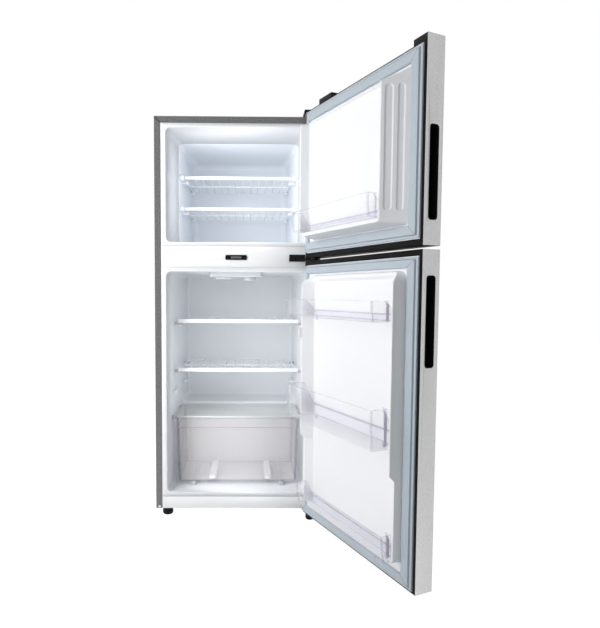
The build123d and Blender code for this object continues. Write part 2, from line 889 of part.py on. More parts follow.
# Supports in the fridge compartment: shelf rests, ledges under the glass and two
# runners under the drawer.
with BuildPart() as fridge_supports:
    add(
        shelf_rests(
            fridge_wall,
            fridge_shelf_front,
            fridge_shelf_depth,
            fridge_shelf_half,
            fridge_shelf_heights,
            fridge_floor,
        )
    )
    with BuildSketch(Plane.XY.offset(fridge_floor + fit)):
        with Locations((0, (crisper_front + drawer_back) / 2)):
            with GridLocations(2 * (drawer_half - runner_inset), 1, 2, 1):
                Rectangle(runner_width, drawer_back - crisper_front)
    extrude(amount=runner_height - shelf_seat - fit)
    ledge_inner = drawer_half + 2 * fit
    for y in (glass_front + rest_length, drawer_back - 3 * rest_length):
        ledge_outer = fridge_wall(y + 2 * rest_length) - fit
        with BuildSketch(Plane.XY.offset(glass_low - shelf_seat)):
            with Locations((ledge_outer, y), (-ledge_inner, y)):
                Rectangle(ledge_outer - ledge_inner, 2 * rest_length, align=(Align.MAX, Align.MIN))
        extrude(amount=-ledge_height)
save(fridge_supports, "fridge_supports")

# Control box on the fridge ceiling, with its lamp lens and the thermostat dial.
control_low = fridge_ceiling - control_height
control_middle = control_front + control_depth / 2
dial_x = control_x + control_width / 4
lamp_x = control_x - control_width / 4
with BuildPart() as control_box:
    with BuildSketch(Plane.XY.offset(control_low)):
        with Locations((control_x, control_middle)):
            RectangleRounded(control_width, control_depth, corner_radius)
    extrude(amount=control_height - fit)
    fillet(control_box.edges().group_by(Axis.Z)[0], radius=liner_wall)
    with BuildSketch(Plane.XY.offset(control_low)):
        with Locations((dial_x, control_middle)):
            Circle(spindle_diameter / 2 + pin_clearance)
    extrude(amount=spindle_length + fit, mode=Mode.SUBTRACT)
save(control_box, "control_box")

with BuildPart() as lamp_lens:
    with BuildSketch(Plane.XY.offset(control_low - fit)):
        with Locations((lamp_x, control_middle)):
            RectangleRounded(lamp_width, lamp_depth, corner_radius / 2)
    extrude(amount=-lamp_height)
    fillet(lamp_lens.edges().group_by(Axis.Z)[0], radius=liner_wall)
save(lamp_lens, "lamp_lens")

with BuildPart() as thermostat_dial:
    with BuildSketch(Plane.XY.offset(control_low - dial_gap)):
        with Locations((dial_x, control_middle)):
            Circle(dial_diameter / 2)
    extrude(amount=-dial_height)
    fillet(thermostat_dial.edges().group_by(Axis.Z)[0], radius=liner_wall)
    with BuildSketch(Plane.XY.offset(control_low - dial_gap)):
        with Locations((dial_x, control_middle)):
            Circle(spindle_diameter / 2)
    extrude(amount=spindle_length)
save(thermostat_dial, "thermostat_dial")

# Doors: planes that turn with the hinge. On a level plane X runs along the door
# from its hinge edge and Y goes outwards from its inner face.
pin = Vector(pin_x, pin_y, 0)
along = Vector(-1, 0, 0).rotate(Axis.Z, door_open_angle)
inward = Vector(0, 1, 0).rotate(Axis.Z, door_open_angle)
up = Vector(0, 0, 1)
door_corner = pin + Vector(pin_from_side, pin_depth, 0).rotate(Axis.Z, door_open_angle)


def door_level(z):
    """Level plane of a door: X along it from the hinge edge, Y outwards."""
    return Plane(origin=door_corner + up * z, x_dir=along, z_dir=up)


def door_face(reach):
    """Plane parallel to a door's inner face, at a reach inwards from it: X along, Y up."""
    return Plane(origin=door_corner + inward * reach, x_dir=along, z_dir=inward)


def door_end(distance):
    """Plane across a door at a distance from the hinge edge: X outwards, Y up."""
    return Plane(origin=door_corner + along * distance, x_dir=inward * -1, z_dir=along)


def door_outline(inset):
    """Plan of a door: rounded at its two outer corners, flat on its inner face."""
    radii = [radius - inset for radius in door_radii]
    far = cabinet_width - inset
    outer = door_thickness - inset
    with BuildSketch() as outline:
        with BuildLine():
            edge = FilletPolyline((inset, 0), (inset, outer), (far, outer), (far, 0), radius=radii)
            Line(edge @ 1, edge @ 0)
        make_face()
    return outline.sketch


def door_shell(name, low, high, crown, grip_low):
    """Skin, foam, grip and caps of one door; the bottom cap carries the edge strips."""
    grip_middle = (grip_inset + grip_width / 2, grip_low + grip_length / 2)
    with BuildPart() as skin:
        with BuildSketch(door_level(low)):
            add(door_outline(0))
            add(door_outline(sheet), mode=Mode.SUBTRACT)
        extrude(amount=high - low)
        if crown:
            with BuildSketch(door_level(high)):
                add(door_outline(0))
                add(door_outline(sheet), mode=Mode.SUBTRACT)
                Rectangle(crown_start, cabinet_width, align=(Align.MIN, Align.CENTER), mode=Mode.SUBTRACT)
            extrude(amount=crown)
        with BuildSketch(door_end(cabinet_width)):
            with Locations(grip_middle):
                RectangleRounded(grip_width + 2 * fit, grip_length + 2 * fit, grip_radius + fit)
        extrude(amount=-2 * sheet, mode=Mode.SUBTRACT)
    save(skin, f"{name}_door_skin")

    with BuildPart() as bottom_cap:
        with BuildSketch(door_level(low)):
            add(door_outline(core_inset))
            with Locations((pin_from_side, pin_depth)):
                Circle(pin_diameter / 2 + pin_clearance, mode=Mode.SUBTRACT)
        extrude(amount=cap_height)
        with BuildSketch(door_level(low)):
            for start in (core_inset, cabinet_width - core_inset - edge_strip_width):
                with Locations((start, 0)):
                    Rectangle(edge_strip_width, edge_strip_depth, align=Align.MIN)
        extrude(amount=high - low - cap_height - fit)
    save(bottom_cap, f"{name}_door_bottom_cap")

    with BuildPart() as top_cap:
        with BuildSketch(door_level(high)):
            add(door_outline(core_inset))
            with Locations((pin_from_side, pin_depth)):
                Circle(pin_diameter / 2 + pin_clearance, mode=Mode.SUBTRACT)
        extrude(amount=-cap_height)
        if crown:
            with BuildSketch(door_level(high)):
                add(door_outline(core_inset))
                with Locations((0, 0)):
                    Rectangle(
                        crown_start, cabinet_width, align=(Align.MIN, Align.CENTER), mode=Mode.SUBTRACT
                    )
                for start, end in (
                    (crown_start, crown_block_start),
                    (crown_block_end, cabinet_width - crown_end_block),
                ):
                    with Locations(((start + end) / 2, 0)):
                        Rectangle(
                            end - start,
                            2 * (door_thickness - core_inset - cap_wall),
                            mode=Mode.SUBTRACT,
                        )
            extrude(amount=crown)
    save(top_cap, f"{name}_door_top_cap")

    strip_low = low + cap_height + fit
    strip_height = high - low - 2 * (cap_height + fit)
    liner_start = core_inset + edge_strip_width + fit
    with BuildPart() as foam:
        with BuildSketch(door_level(strip_low + fit)):
            add(door_outline(core_inset + foam_gap))
            Rectangle(
                2 * cabinet_width, 2 * (edge_strip_depth + foam_gap), mode=Mode.SUBTRACT
            )
            with Locations((liner_start + fit, liner_wall + foam_gap)):
                Rectangle(
                    cabinet_width - 2 * (liner_start + fit), edge_strip_depth, align=Align.MIN
                )
        extrude(amount=strip_height - 2 * fit)
        with BuildSketch(door_end(cabinet_width)):
            with Locations(grip_middle):
                RectangleRounded(
                    grip_width + 2 * foam_gap, grip_length + 2 * foam_gap, grip_radius + foam_gap
                )
        extrude(amount=-grip_depth - foam_gap, mode=Mode.SUBTRACT)
    save(foam, f"{name}_door_insulation")

    with BuildPart() as grip:
        with BuildSketch(door_end(cabinet_width)):
            with Locations(grip_middle):
                RectangleRounded(grip_width, grip_length, grip_radius)
        extrude(amount=-grip_depth)
        with BuildSketch(door_end(cabinet_width)):
            with Locations(grip_middle):
                RectangleRounded(
                    grip_width - 2 * grip_wall, grip_length - 2 * grip_wall, grip_radius - grip_wall
                )
        extrude(amount=-grip_depth + grip_wall, mode=Mode.SUBTRACT)
    save(grip, f"{name}_door_grip")
    return strip_low, strip_height, liner_start


def door_gasket(name, low, high, end_width):
    """Magnetic seal: a flat ring on the door's inner face."""
    inner_start = gasket_side_inset + gasket_hinge_width
    inner_end = cabinet_width - gasket_side_inset - gasket_free_width
    with BuildPart() as gasket:
        with BuildSketch(door_face(0)):
            with Locations((cabinet_width / 2, (low + high) / 2)):
                Rectangle(cabinet_width - 2 * gasket_side_inset, high - low)
            with Locations(((inner_start + inner_end) / 2, (low + high) / 2)):
                Rectangle(inner_end - inner_start, high - low - 2 * end_width, mode=Mode.SUBTRACT)
        extrude(amount=gasket_thickness)
    save(gasket, f"{name}_door_gasket")


def plug_profile(start, end, hinge_slope, free_slope, inner_slope, rise, panel_rise):
    """Plan of a door liner's plug: two side walls with a flat panel between them."""
    hinge_crest = start + hinge_slope
    free_crest = end - free_slope
    with BuildSketch() as profile:
        with BuildLine():
            Polyline(
                (start, 0),
                (hinge_crest, -rise),
                (hinge_crest + crest_width, -rise),
                (hinge_crest + crest_width + inner_slope, -panel_rise),
                (free_crest - crest_width - inner_slope, -panel_rise),
                (free_crest - crest_width, -rise),
                (free_crest, -rise),
                (end, 0),
                close=True,
            )
        make_face()
    return profile.sketch


def plug_corners(start, end, low, high):
    """What is cut off a plug's four corners to round them, seen from inside."""
    with BuildSketch() as corners:
        for s, z, along_s, along_z in (
            (start, low, Align.MIN, Align.MIN),
            (end, low, Align.MAX, Align.MIN),
            (start, high, Align.MIN, Align.MAX),
            (end, high, Align.MAX, Align.MAX),
        ):
            with Locations((s, z)):
                Rectangle(plug_corner, plug_corner, align=(along_s, along_z))
        with Locations(((start + end) / 2, (low + high) / 2)):
            with GridLocations(end - start - 2 * plug_corner, high - low - 2 * plug_corner, 2, 2):
                Circle(plug_corner, mode=Mode.SUBTRACT)
    return corners.sketch


def bin_walls(start, end, back, front, step, tongue):
    """Plan of a bin that hangs between a plug's walls: a wide front and a narrower tongue."""
    with BuildSketch() as plan:
        with Locations((start, -step)):
            Rectangle(end - start, front - step, align=(Align.MIN, Align.MAX))
        with Locations((start + tongue, -back)):
            Rectangle(end - start - 2 * tongue, step - back, align=(Align.MIN, Align.MAX))
    return plan.sketch


def door_bin(label, start, end, panel_rise, plug_rise, front, tongue, low, height):
    """Clear bin open at the top, hung on the door's liner."""
    back = panel_rise + bin_play
    step = plug_rise + bin_play
    with BuildPart() as shelf:
        with BuildSketch(door_level(low)):
            add(bin_walls(start, end, back, front, step, tongue))
        extrude(amount=height)
        with BuildSketch(door_level(low + bin_wall)):
            add(
                bin_walls(
                    start + bin_wall,
                    end - bin_wall,
                    back + bin_wall,
                    front - bin_wall,
                    step + bin_wall,
                    tongue,
                )
            )
        extrude(amount=height, mode=Mode.SUBTRACT)
    save(shelf, label)


def lug_places(start, end, tongue):
    """Where the two lugs stand under a bin's tongue, along the door."""
    return (start + tongue + lug_size, end - tongue - lug_size)


# Freezer door
freezer_gasket_low = freezer_door_low + gasket_end_inset
freezer_gasket_high = freezer_door_high - gasket_crown_inset
strip_low, strip_height, liner_start = door_shell(
    "freezer",
    freezer_door_low,
    freezer_door_high,
    crown_height,
    freezer_door_low + freezer_grip_low,
)
door_gasket("freezer", freezer_gasket_low, freezer_gasket_high, freezer_gasket_end_width)
freezer_plug_end = cabinet_width - freezer_plug_margin
freezer_plug_low = freezer_gasket_low + freezer_gasket_end_width + plug_margin
freezer_plug_high = freezer_gasket_high - freezer_gasket_end_width - plug_margin
freezer_crest_start = freezer_plug_start + freezer_hinge_slope
freezer_crest_end = freezer_plug_end - freezer_free_slope
freezer_bin_start = freezer_crest_start + crest_width + bin_end_gap
freezer_bin_end = freezer_crest_end - crest_width - bin_end_gap
freezer_tongue = freezer_inner_slope + bin_play
freezer_bin_low = freezer_plug_low + plug_end_wall + shelf_seat
with BuildPart() as freezer_door_liner:
    with BuildSketch(door_level(strip_low)):
        with Locations((liner_start, 0)):
            Rectangle(cabinet_width - 2 * liner_start, liner_wall, align=Align.MIN)
    extrude(amount=strip_height)
    with BuildSketch(door_level(freezer_plug_low)):
        add(
            plug_profile(
                freezer_plug_start,
                freezer_plug_end,
                freezer_hinge_slope,
                freezer_free_slope,
                freezer_inner_slope,
                freezer_plug_rise,
                freezer_panel_rise,
            )
        )
    extrude(amount=freezer_plug_high - freezer_plug_low)
    for edge, lower in (
        (freezer_plug_low, freezer_plug_low),
        (freezer_plug_high, freezer_plug_high - plug_end_wall),
    ):
        with BuildSketch(door_level(lower)):
            with Locations((freezer_crest_start, 0)):
                Rectangle(
                    freezer_crest_end - freezer_crest_start,
                    freezer_plug_rise,
                    align=(Align.MIN, Align.MAX),
                )
        extrude(amount=plug_end_wall)
        towards = plug_end_slope if lower == edge else -plug_head_slope
        with BuildSketch(door_end(0)):
            with BuildLine():
                Polyline(
                    (0, edge),
                    (-2 * freezer_plug_rise, edge + 2 * towards),
                    (-2 * freezer_plug_rise, edge),
                    close=True,
                )
            make_face()
        extrude(amount=cabinet_width, mode=Mode.SUBTRACT)
    with BuildSketch(door_face(0)):
        add(plug_corners(freezer_plug_start, freezer_plug_end, freezer_plug_low, freezer_plug_high))
    extrude(amount=freezer_plug_rise, mode=Mode.SUBTRACT)
save(freezer_door_liner, "freezer_door_liner")
door_bin(
    "freezer_bin",
    freezer_bin_start,
    freezer_bin_end,
    freezer_panel_rise,
    freezer_plug_rise,
    freezer_bin_reach,
    freezer_tongue,
    freezer_bin_low,
    freezer_bin_height,
)

# Fridge door
fridge_gasket_low = fridge_door_low + gasket_sill_inset
fridge_gasket_high = fridge_door_high - gasket_end_inset
strip_low, strip_height, liner_start = door_shell(
    "fridge",
    fridge_door_low,
    fridge_door_high,
    0,
    fridge_door_high - fridge_grip_below_top - grip_length,
)
door_gasket("fridge", fridge_gasket_low, fridge_gasket_high, fridge_gasket_end_width)
fridge_plug_end = cabinet_width - fridge_plug_margin
fridge_plug_low = fridge_gasket_low + fridge_gasket_end_width + fridge_plug_sill
fridge_plug_high = fridge_gasket_high - fridge_gasket_end_width - plug_margin
egg_shelf_level = fridge_plug_high - fridge_plug_low - egg_shelf_below_top
fridge_crest_start = fridge_plug_start + fridge_hinge_slope
fridge_crest_end = fridge_plug_end - fridge_free_slope
fridge_bin_start = fridge_crest_start + crest_width + bin_end_gap
fridge_bin_end = fridge_crest_end - crest_width - bin_end_gap
fridge_tongue = fridge_inner_slope + bin_play
low_rise = fridge_plug_rise - ramp_drop
fridge_bins = (
    ("egg_shelf", egg_shelf_reach, fridge_plug_rise, egg_shelf_level, egg_shelf_height),
    ("bottle_shelf", bottle_shelf_reach, fridge_plug_rise, bottle_shelf_level, bottle_shelf_height),
    ("sauce_shelf", sauce_shelf_reach, low_rise, sauce_shelf_level, sauce_shelf_height),
)
with BuildPart() as fridge_door_liner:
    with BuildSketch(door_level(strip_low)):
        with Locations((liner_start, 0)):
            Rectangle(cabinet_width - 2 * liner_start, liner_wall, align=Align.MIN)
    extrude(amount=strip_height)
    with BuildSketch(door_level(fridge_plug_low)):
        add(
            plug_profile(
                fridge_plug_start,
                fridge_plug_end,
                fridge_hinge_slope,
                fridge_free_slope,
                fridge_inner_slope,
                fridge_plug_rise,
                fridge_panel_rise,
            )
        )
    extrude(amount=fridge_plug_high - fridge_plug_low)
    with BuildSketch(door_end(0)):
        with Locations((-fridge_plug_rise, fridge_plug_high)):
            Rectangle(plug_round, plug_round, align=(Align.MIN, Align.MAX))
        with Locations((plug_round - fridge_plug_rise, fridge_plug_high - plug_round)):
            Circle(plug_round, mode=Mode.SUBTRACT)
        with BuildLine():
            Polyline(
                (-low_rise, fridge_plug_low),
                (-low_rise, fridge_plug_low + ramp_level),
                (-fridge_plug_rise, fridge_plug_low + ramp_level + ramp_drop),
                (-fridge_plug_rise, fridge_plug_low),
                close=True,
            )
        make_face()
    extrude(amount=cabinet_width, mode=Mode.SUBTRACT)
    with BuildSketch(door_face(0)):
        add(plug_corners(fridge_plug_start, fridge_plug_end, fridge_plug_low, fridge_plug_high))
    extrude(amount=fridge_plug_rise, mode=Mode.SUBTRACT)
    with BuildSketch(door_level(fridge_plug_high - tab_below_top)):
        with Locations((fridge_crest_start, 0)):
            Rectangle(crest_width, fridge_plug_rise + tab_rise, align=(Align.MIN, Align.MAX))
    extrude(amount=tab_height)
    for label, reach, rise, level, height in fridge_bins:
        for place in lug_places(fridge_bin_start, fridge_bin_end, fridge_tongue):
            with BuildSketch(door_level(fridge_plug_low + level - shelf_seat)):
                with Locations((place, -fridge_panel_rise)):
                    Rectangle(lug_size, lug_reach, align=(Align.CENTER, Align.MAX))
            extrude(amount=-lug_size)
save(fridge_door_liner, "fridge_door_liner")
for label, reach, rise, level, height in fridge_bins:
    door_bin(
        label,
        fridge_bin_start,
        fridge_bin_end,
        fridge_panel_rise,
        rise,
        reach,
        fridge_tongue,
        fridge_plug_low + level,
        height,
    )
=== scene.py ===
import json
import math

import bmesh
import bpy
from mathutils import Matrix, Vector


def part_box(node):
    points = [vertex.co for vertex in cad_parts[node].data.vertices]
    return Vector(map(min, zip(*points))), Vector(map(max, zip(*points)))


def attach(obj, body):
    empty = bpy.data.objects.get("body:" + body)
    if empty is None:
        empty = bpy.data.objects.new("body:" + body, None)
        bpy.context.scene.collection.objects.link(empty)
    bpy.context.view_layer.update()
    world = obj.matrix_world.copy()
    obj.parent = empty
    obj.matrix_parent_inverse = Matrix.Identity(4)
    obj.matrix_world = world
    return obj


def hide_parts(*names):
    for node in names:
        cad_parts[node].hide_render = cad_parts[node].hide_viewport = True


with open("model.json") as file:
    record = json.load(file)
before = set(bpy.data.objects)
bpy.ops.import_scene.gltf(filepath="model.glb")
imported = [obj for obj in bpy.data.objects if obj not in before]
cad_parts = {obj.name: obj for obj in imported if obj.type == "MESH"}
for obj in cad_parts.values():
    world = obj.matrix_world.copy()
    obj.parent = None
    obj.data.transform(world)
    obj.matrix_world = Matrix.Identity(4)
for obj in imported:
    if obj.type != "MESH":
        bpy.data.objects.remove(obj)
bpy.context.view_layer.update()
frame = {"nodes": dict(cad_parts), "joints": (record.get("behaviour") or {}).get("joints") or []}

# Cabinet wrapper: one sheet of steel folded over both sides and the top, with a narrow
# flange turned in round the front. Painted dark silver with fine metal flakes, and
# mitred where the flange meets at its upper corners.


def new_group(name, inputs, outputs):
    """Shader node group with its named sockets, and the two nodes at its ends."""
    group = bpy.data.node_groups.new(name, "ShaderNodeTree")
    for direction, sockets in (("INPUT", inputs), ("OUTPUT", outputs)):
        for label, kind in sockets.items():
            group.interface.new_socket(label, in_out=direction, socket_type=f"NodeSocket{kind}")
    return group, group.nodes.new("NodeGroupInput"), group.nodes.new("NodeGroupOutput")


def flake_group():
    """Fine bright flakes or brush lines in a metal finish: a colour and a roughness."""
    group, enter, leave = new_group(
        "metal flakes",
        {
            "Dark": "Color",
            "Light": "Color",
            "Flake Scale": "Float",
            "Stretch": "Vector",
            "Rough Dark": "Float",
            "Rough Light": "Float",
        },
        {"Color": "Color", "Roughness": "Float"},
    )
    nodes, links = group.nodes, group.links
    place = nodes.new("ShaderNodeTexCoord")
    stretched = nodes.new("ShaderNodeVectorMath")
    stretched.operation = "MULTIPLY"
    specks = nodes.new("ShaderNodeTexNoise")
    specks.inputs["Detail"].default_value = 3.0
    specks.inputs["Roughness"].default_value = 0.7
    spread = nodes.new("ShaderNodeMapRange")
    spread.inputs["From Min"].default_value = 0.38
    spread.inputs["From Max"].default_value = 0.64
    blend = nodes.new("ShaderNodeMix")
    blend.data_type = "RGBA"
    sheen = nodes.new("ShaderNodeMapRange")
    links.new(place.outputs["Object"], stretched.inputs[0])
    links.new(enter.outputs["Stretch"], stretched.inputs[1])
    links.new(stretched.outputs["Vector"], specks.inputs["Vector"])
    links.new(enter.outputs["Flake Scale"], specks.inputs["Scale"])
    links.new(specks.outputs["Fac"], spread.inputs["Value"])
    links.new(spread.outputs["Result"], blend.inputs["Factor"])
    links.new(enter.outputs["Dark"], blend.inputs["A"])
    links.new(enter.outputs["Light"], blend.inputs["B"])
    links.new(spread.outputs["Result"], sheen.inputs["Value"])
    links.new(enter.outputs["Rough Dark"], sheen.inputs["To Min"])
    links.new(enter.outputs["Rough Light"], sheen.inputs["To Max"])
    links.new(blend.outputs["Result"], leave.inputs["Color"])
    links.new(sheen.outputs["Result"], leave.inputs["Roughness"])
    return group


metal_flakes = flake_group()


def new_material(name):
    """Material with its Principled shader, ready to be wired."""
    material = bpy.data.materials.new(name)
    material.use_nodes = True
    tree = material.node_tree
    return material, tree.nodes, tree.links, tree.nodes["Principled BSDF"]


def place_group(nodes, group, values):
    """Puts a shared node group in a material with that material's own values."""
    node = nodes.new("ShaderNodeGroup")
    node.node_tree = group
    for label, value in values.items():
        node.inputs[label].default_value = value
    return node


def flake_metal(name, dark, light, flake_scale, metallic, stretch=(1, 1, 1), rough=(0.5, 0.32)):
    """Metal or metallic paint with flakes or brush lines."""
    material, nodes, links, shader = new_material(name)
    flakes = place_group(
        nodes,
        metal_flakes,
        {
            "Dark": (*dark, 1),
            "Light": (*light, 1),
            "Flake Scale": flake_scale,
            "Stretch": stretch,
            "Rough Dark": rough[0],
            "Rough Light": rough[1],
        },
    )
    links.new(flakes.outputs["Color"], shader.inputs["Base Color"])
    links.new(flakes.outputs["Roughness"], shader.inputs["Roughness"])
    shader.inputs["Metallic"].default_value = metallic
    return material


def dress(node, material, bevel=0.0006, segments=2):
    """Gives a CAD piece its finish, with softened edges, or plain ones where bevel is 0."""
    piece = frame["nodes"][node]
    piece.data.materials.clear()
    piece.data.materials.append(material)
    for polygon in piece.data.polygons:
        polygon.use_smooth = True
    weld = piece.modifiers.new("weld", "WELD")
    weld.merge_threshold = 0.00002
    edge_angle = math.radians(35)
    if bevel:
        edge = piece.modifiers.new("soft edges", "BEVEL")
        edge.width = bevel
        edge.segments = segments
        edge.limit_method = "ANGLE"
        edge.angle_limit = edge_angle
        edge.harden_normals = True
    else:
        sharp = piece.modifiers.new("sharp edges", "EDGE_SPLIT")
        sharp.split_angle = edge_angle


def make_piece(name, skin, materials, body, stands_for=(), choices=None, sharp=40):
    """Mesh piece made of a skin's points and faces, smooth apart from its sharp edges."""
    points, faces = skin
    mesh = bpy.data.meshes.new(name)
    mesh.from_pydata([tuple(point) for point in points], [], faces)
    for material in materials:
        mesh.materials.append(material)
    if choices:
        mesh.polygons.foreach_set("material_index", choices)
    mesh.polygons.foreach_set("use_smooth", [True] * len(mesh.polygons))
    shape = bmesh.new()
    shape.from_mesh(mesh)
    bmesh.ops.dissolve_degenerate(shape, dist=0.000001, edges=shape.edges)
    shape.to_mesh(mesh)
    shape.free()
    mesh.set_sharp_from_angle(angle=math.radians(sharp))
    piece = bpy.data.objects.new(name, mesh)
    bpy.context.collection.objects.link(piece)
    even = piece.modifiers.new("even shading", "WEIGHTED_NORMAL")
    even.keep_sharp = True
    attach(piece, body)
    if stands_for:
        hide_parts(*stands_for)
    return piece


def skin_over(rings, first_cap=True, last_cap=True):
    """Points and faces of a skin over rings of equally many points, capped at its ends."""
    count = len(rings[0])
    points = [point for ring in rings for point in ring]
    faces = []
    for row in range(len(rings) - 1):
        lower, upper = row * count, (row + 1) * count
        for here in range(count):
            after = (here + 1) % count
            faces.append((lower + here, lower + after, upper + after, upper + here))
    if first_cap:
        faces.append(tuple(reversed(range(count))))
    if last_cap:
        faces.append(tuple(range((len(rings) - 1) * count, len(rings) * count)))
    return points, faces


cabinet_half = 0.270
cabinet_bottom = 0.025
cabinet_top = 1.310
flange_width = 0.021
both_sides = ((-1, "left"), (1, "right"))
cabinet_paint = flake_metal("cabinet paint", (0.050, 0.050, 0.053), (0.265, 0.265, 0.275), 360, 0.6)
dress("cabinet_wrapper", cabinet_paint, bevel=0)


def dark_line(name, start, end, across, out, width, height, material, body):
    """Thin raised line between two points, such as a folded seam."""
    start, end, across, out = (Vector(value) for value in (start, end, across, out))
    half = across.normalized() * width / 2
    rise = out.normalized() * height
    rings = [[spot - half, spot + half, spot + half + rise, spot - half + rise] for spot in (start, end)]
    make_piece(name, skin_over(rings), [material], body)


mitre_inset = 0.0018
mitre_root = 0.0002
mitre_width = 0.0034
mitre_height = 0.0004
# The near-black strip along each upper mitre of the flange is painted shadow of the gap where the flange
# pieces meet.
painted_seam_shadow = flake_metal("seam shadow", (0.012, 0.012, 0.014), (0.03, 0.03, 0.032), 300, 0.2)
for side, label in both_sides:
    dark_line(
        f"flange_seam_shadow_{label}",
        (side * (cabinet_half - mitre_inset), mitre_root, cabinet_top - mitre_inset),
        (side * (cabinet_half - flange_width), mitre_root, cabinet_top - flange_width),
        (-side, 0, 1),
        (0, -1, 0),
        mitre_width,
        mitre_height,
        painted_seam_shadow,
        "cabinet",
    )


def turned(name, centre, axis, outline, material, body, steps=24):
    """Round piece turned about an axis; the outline is (radius, height) from its base up."""
    axis = Vector(axis).normalized()
    first = axis.orthogonal().normalized()
    second = axis.cross(first)
    rings = []
    for radius, height in outline:
        middle = Vector(centre) + axis * height
        rings.append(
            [
                middle + (first * math.cos(angle) + second * math.sin(angle)) * radius
                for angle in (math.tau * step / steps for step in range(steps))
            ]
        )
    make_piece(name, skin_over(rings), [material], body)


bright_zinc = flake_metal("bright zinc", (0.62, 0.63, 0.64), (0.80, 0.81, 0.82), 900, 0.6)
flange_screw_in = 0.0115
flange_screw_up = 0.006
flange_screw_head = (
    (0.0042, 0),
    (0.0042, 0.0008),
    (0.0034, 0.0018),
    (0.0018, 0.0022),
    (0.0014, 0.0012),
    (0.0004, 0.0012),
)
turned(
    "flange_screw",
    (-cabinet_half + flange_screw_in, 0, cabinet_bottom + flange_screw_up),
    (0, -1, 0),
    flange_screw_head,
    bright_zinc,
    "cabinet",
)

# Floor pan, back panel and compressor tray: zinc coated sheet steel, folded and screwed
# to the wrapper under and behind the foam. The back panel's field is pressed outwards.
zinc = flake_metal("zinc sheet", (0.34, 0.35, 0.36), (0.52, 0.53, 0.55), 70, 0.7)
for sheet in ("floor_pan", "compressor_tray"):
    dress(sheet, zinc, bevel=0)


def rounded_ring(low_u, high_u, low_v, high_v, radii, steps, lines_u=(), lines_v=()):
    """Rounded rectangle as (u, v, side), anticlockwise; side is whole on the four sides
    (bottom, right, top, left) and runs on to the next one round each corner."""
    corners = (
        (high_u, -1, low_v, 1, -90),
        (high_u, -1, high_v, -1, 0),
        (low_u, 1, high_v, -1, 90),
        (low_u, 1, low_v, 1, 180),
    )
    ring = []
    for side, (u, to_u, v, to_v, turn) in enumerate(corners):
        if side == 0:
            ring += [(line, low_v, 0) for line in lines_u]
        elif side == 1:
            ring += [(high_u, line, 1) for line in lines_v]
        elif side == 2:
            ring += [(line, high_v, 2) for line in reversed(lines_u)]
        else:
            ring += [(low_u, line, 3) for line in reversed(lines_v)]
        radius = radii[side]
        for step in range(steps + 1):
            angle = math.radians(turn + 90 * step / steps)
            ring.append(
                (
                    u + to_u * radius + radius * math.cos(angle),
                    v + to_v * radius + radius * math.sin(angle),
                    side + step / steps,
                )
            )
    return ring


panel_half = 0.2688
panel_low, panel_high = 0.2812, 1.3088
# Inset from the rim, depth and corner radius: the border, the pressed field and its groove.
panel_profile = (
    (0, 0.5026, 0.001),
    (0, 0.5036, 0.001),
    (0.026, 0.5036, 0.010),
    (0.0275, 0.5038, 0.010),
    (0.031, 0.5048, 0.012),
    (0.034, 0.505, 0.012),
    (0.150, 0.505, 0.060),
    (0.153, 0.5048, 0.060),
    (0.157, 0.5042, 0.060),
    (0.163, 0.5042, 0.060),
    (0.167, 0.5048, 0.060),
    (0.170, 0.505, 0.060),
)
panel_rings = []
for inset, y, radius in panel_profile:
    ring = rounded_ring(
        inset - panel_half,
        panel_half - inset,
        panel_low + inset,
        panel_high - inset,
        (radius,) * 4,
        steps=6,
    )
    panel_rings.append([Vector((-u, y, v)) for u, v, side in ring])
make_piece("back_sheet", skin_over(panel_rings), [zinc], "cabinet", stands_for=["back_panel"])
screw_rows = 5
screw_edge = 0.013
screw_end = 0.030
screw_seat = 0.5034
screw_pitch = (panel_high - panel_low - 2 * screw_end) / (screw_rows - 1)
back_screw_head = (
    (0.0045, 0),
    (0.0045, 0.0008),
    (0.0036, 0.0014),
    (0.0020, 0.0016),
    (0.0014, 0.0008),
    (0.0004, 0.0008),
)
for row in range(screw_rows):
    for side, label in both_sides:
        turned(
            f"back_screw_{row}_{label}",
            (side * (panel_half - screw_edge), screw_seat, panel_low + screw_end + row * screw_pitch),
            (0, 1, 0),
            back_screw_head,
            bright_zinc,
            "cabinet",
        )

# Foam: poured as a liquid between the sheet and the liners, where it swells and sets hard.
# It is pale yellow where it shows, holds the walls together and fills the doors as well.


def mottle_group():
    """Slow drift in a moulded surface: a colour, a roughness and a fine height."""
    group, enter, leave = new_group(
        "moulded surface",
        {"Tint": "Color", "Shade": "Color", "Scale": "Float", "Rough Low": "Float", "Rough High": "Float"},
        {"Color": "Color", "Roughness": "Float", "Height": "Float"},
    )
    nodes, links = group.nodes, group.links
    place = nodes.new("ShaderNodeTexCoord")
    drift = nodes.new("ShaderNodeTexNoise")
    drift.inputs["Detail"].default_value = 4.0
    grain = nodes.new("ShaderNodeTexNoise")
    grain.inputs["Scale"].default_value = 700.0
    grain.inputs["Detail"].default_value = 2.0
    blend = nodes.new("ShaderNodeMix")
    blend.data_type = "RGBA"
    gloss = nodes.new("ShaderNodeMapRange")
    links.new(place.outputs["Object"], drift.inputs["Vector"])
    links.new(place.outputs["Object"], grain.inputs["Vector"])
    links.new(enter.outputs["Scale"], drift.inputs["Scale"])
    links.new(drift.outputs["Fac"], blend.inputs["Factor"])
    links.new(enter.outputs["Tint"], blend.inputs["A"])
    links.new(enter.outputs["Shade"], blend.inputs["B"])
    links.new(drift.outputs["Fac"], gloss.inputs["Value"])
    links.new(enter.outputs["Rough Low"], gloss.inputs["To Min"])
    links.new(enter.outputs["Rough High"], gloss.inputs["To Max"])
    links.new(blend.outputs["Result"], leave.inputs["Color"])
    links.new(gloss.outputs["Result"], leave.inputs["Roughness"])
    links.new(grain.outputs["Fac"], leave.inputs["Height"])
    return group


moulded_surface = mottle_group()


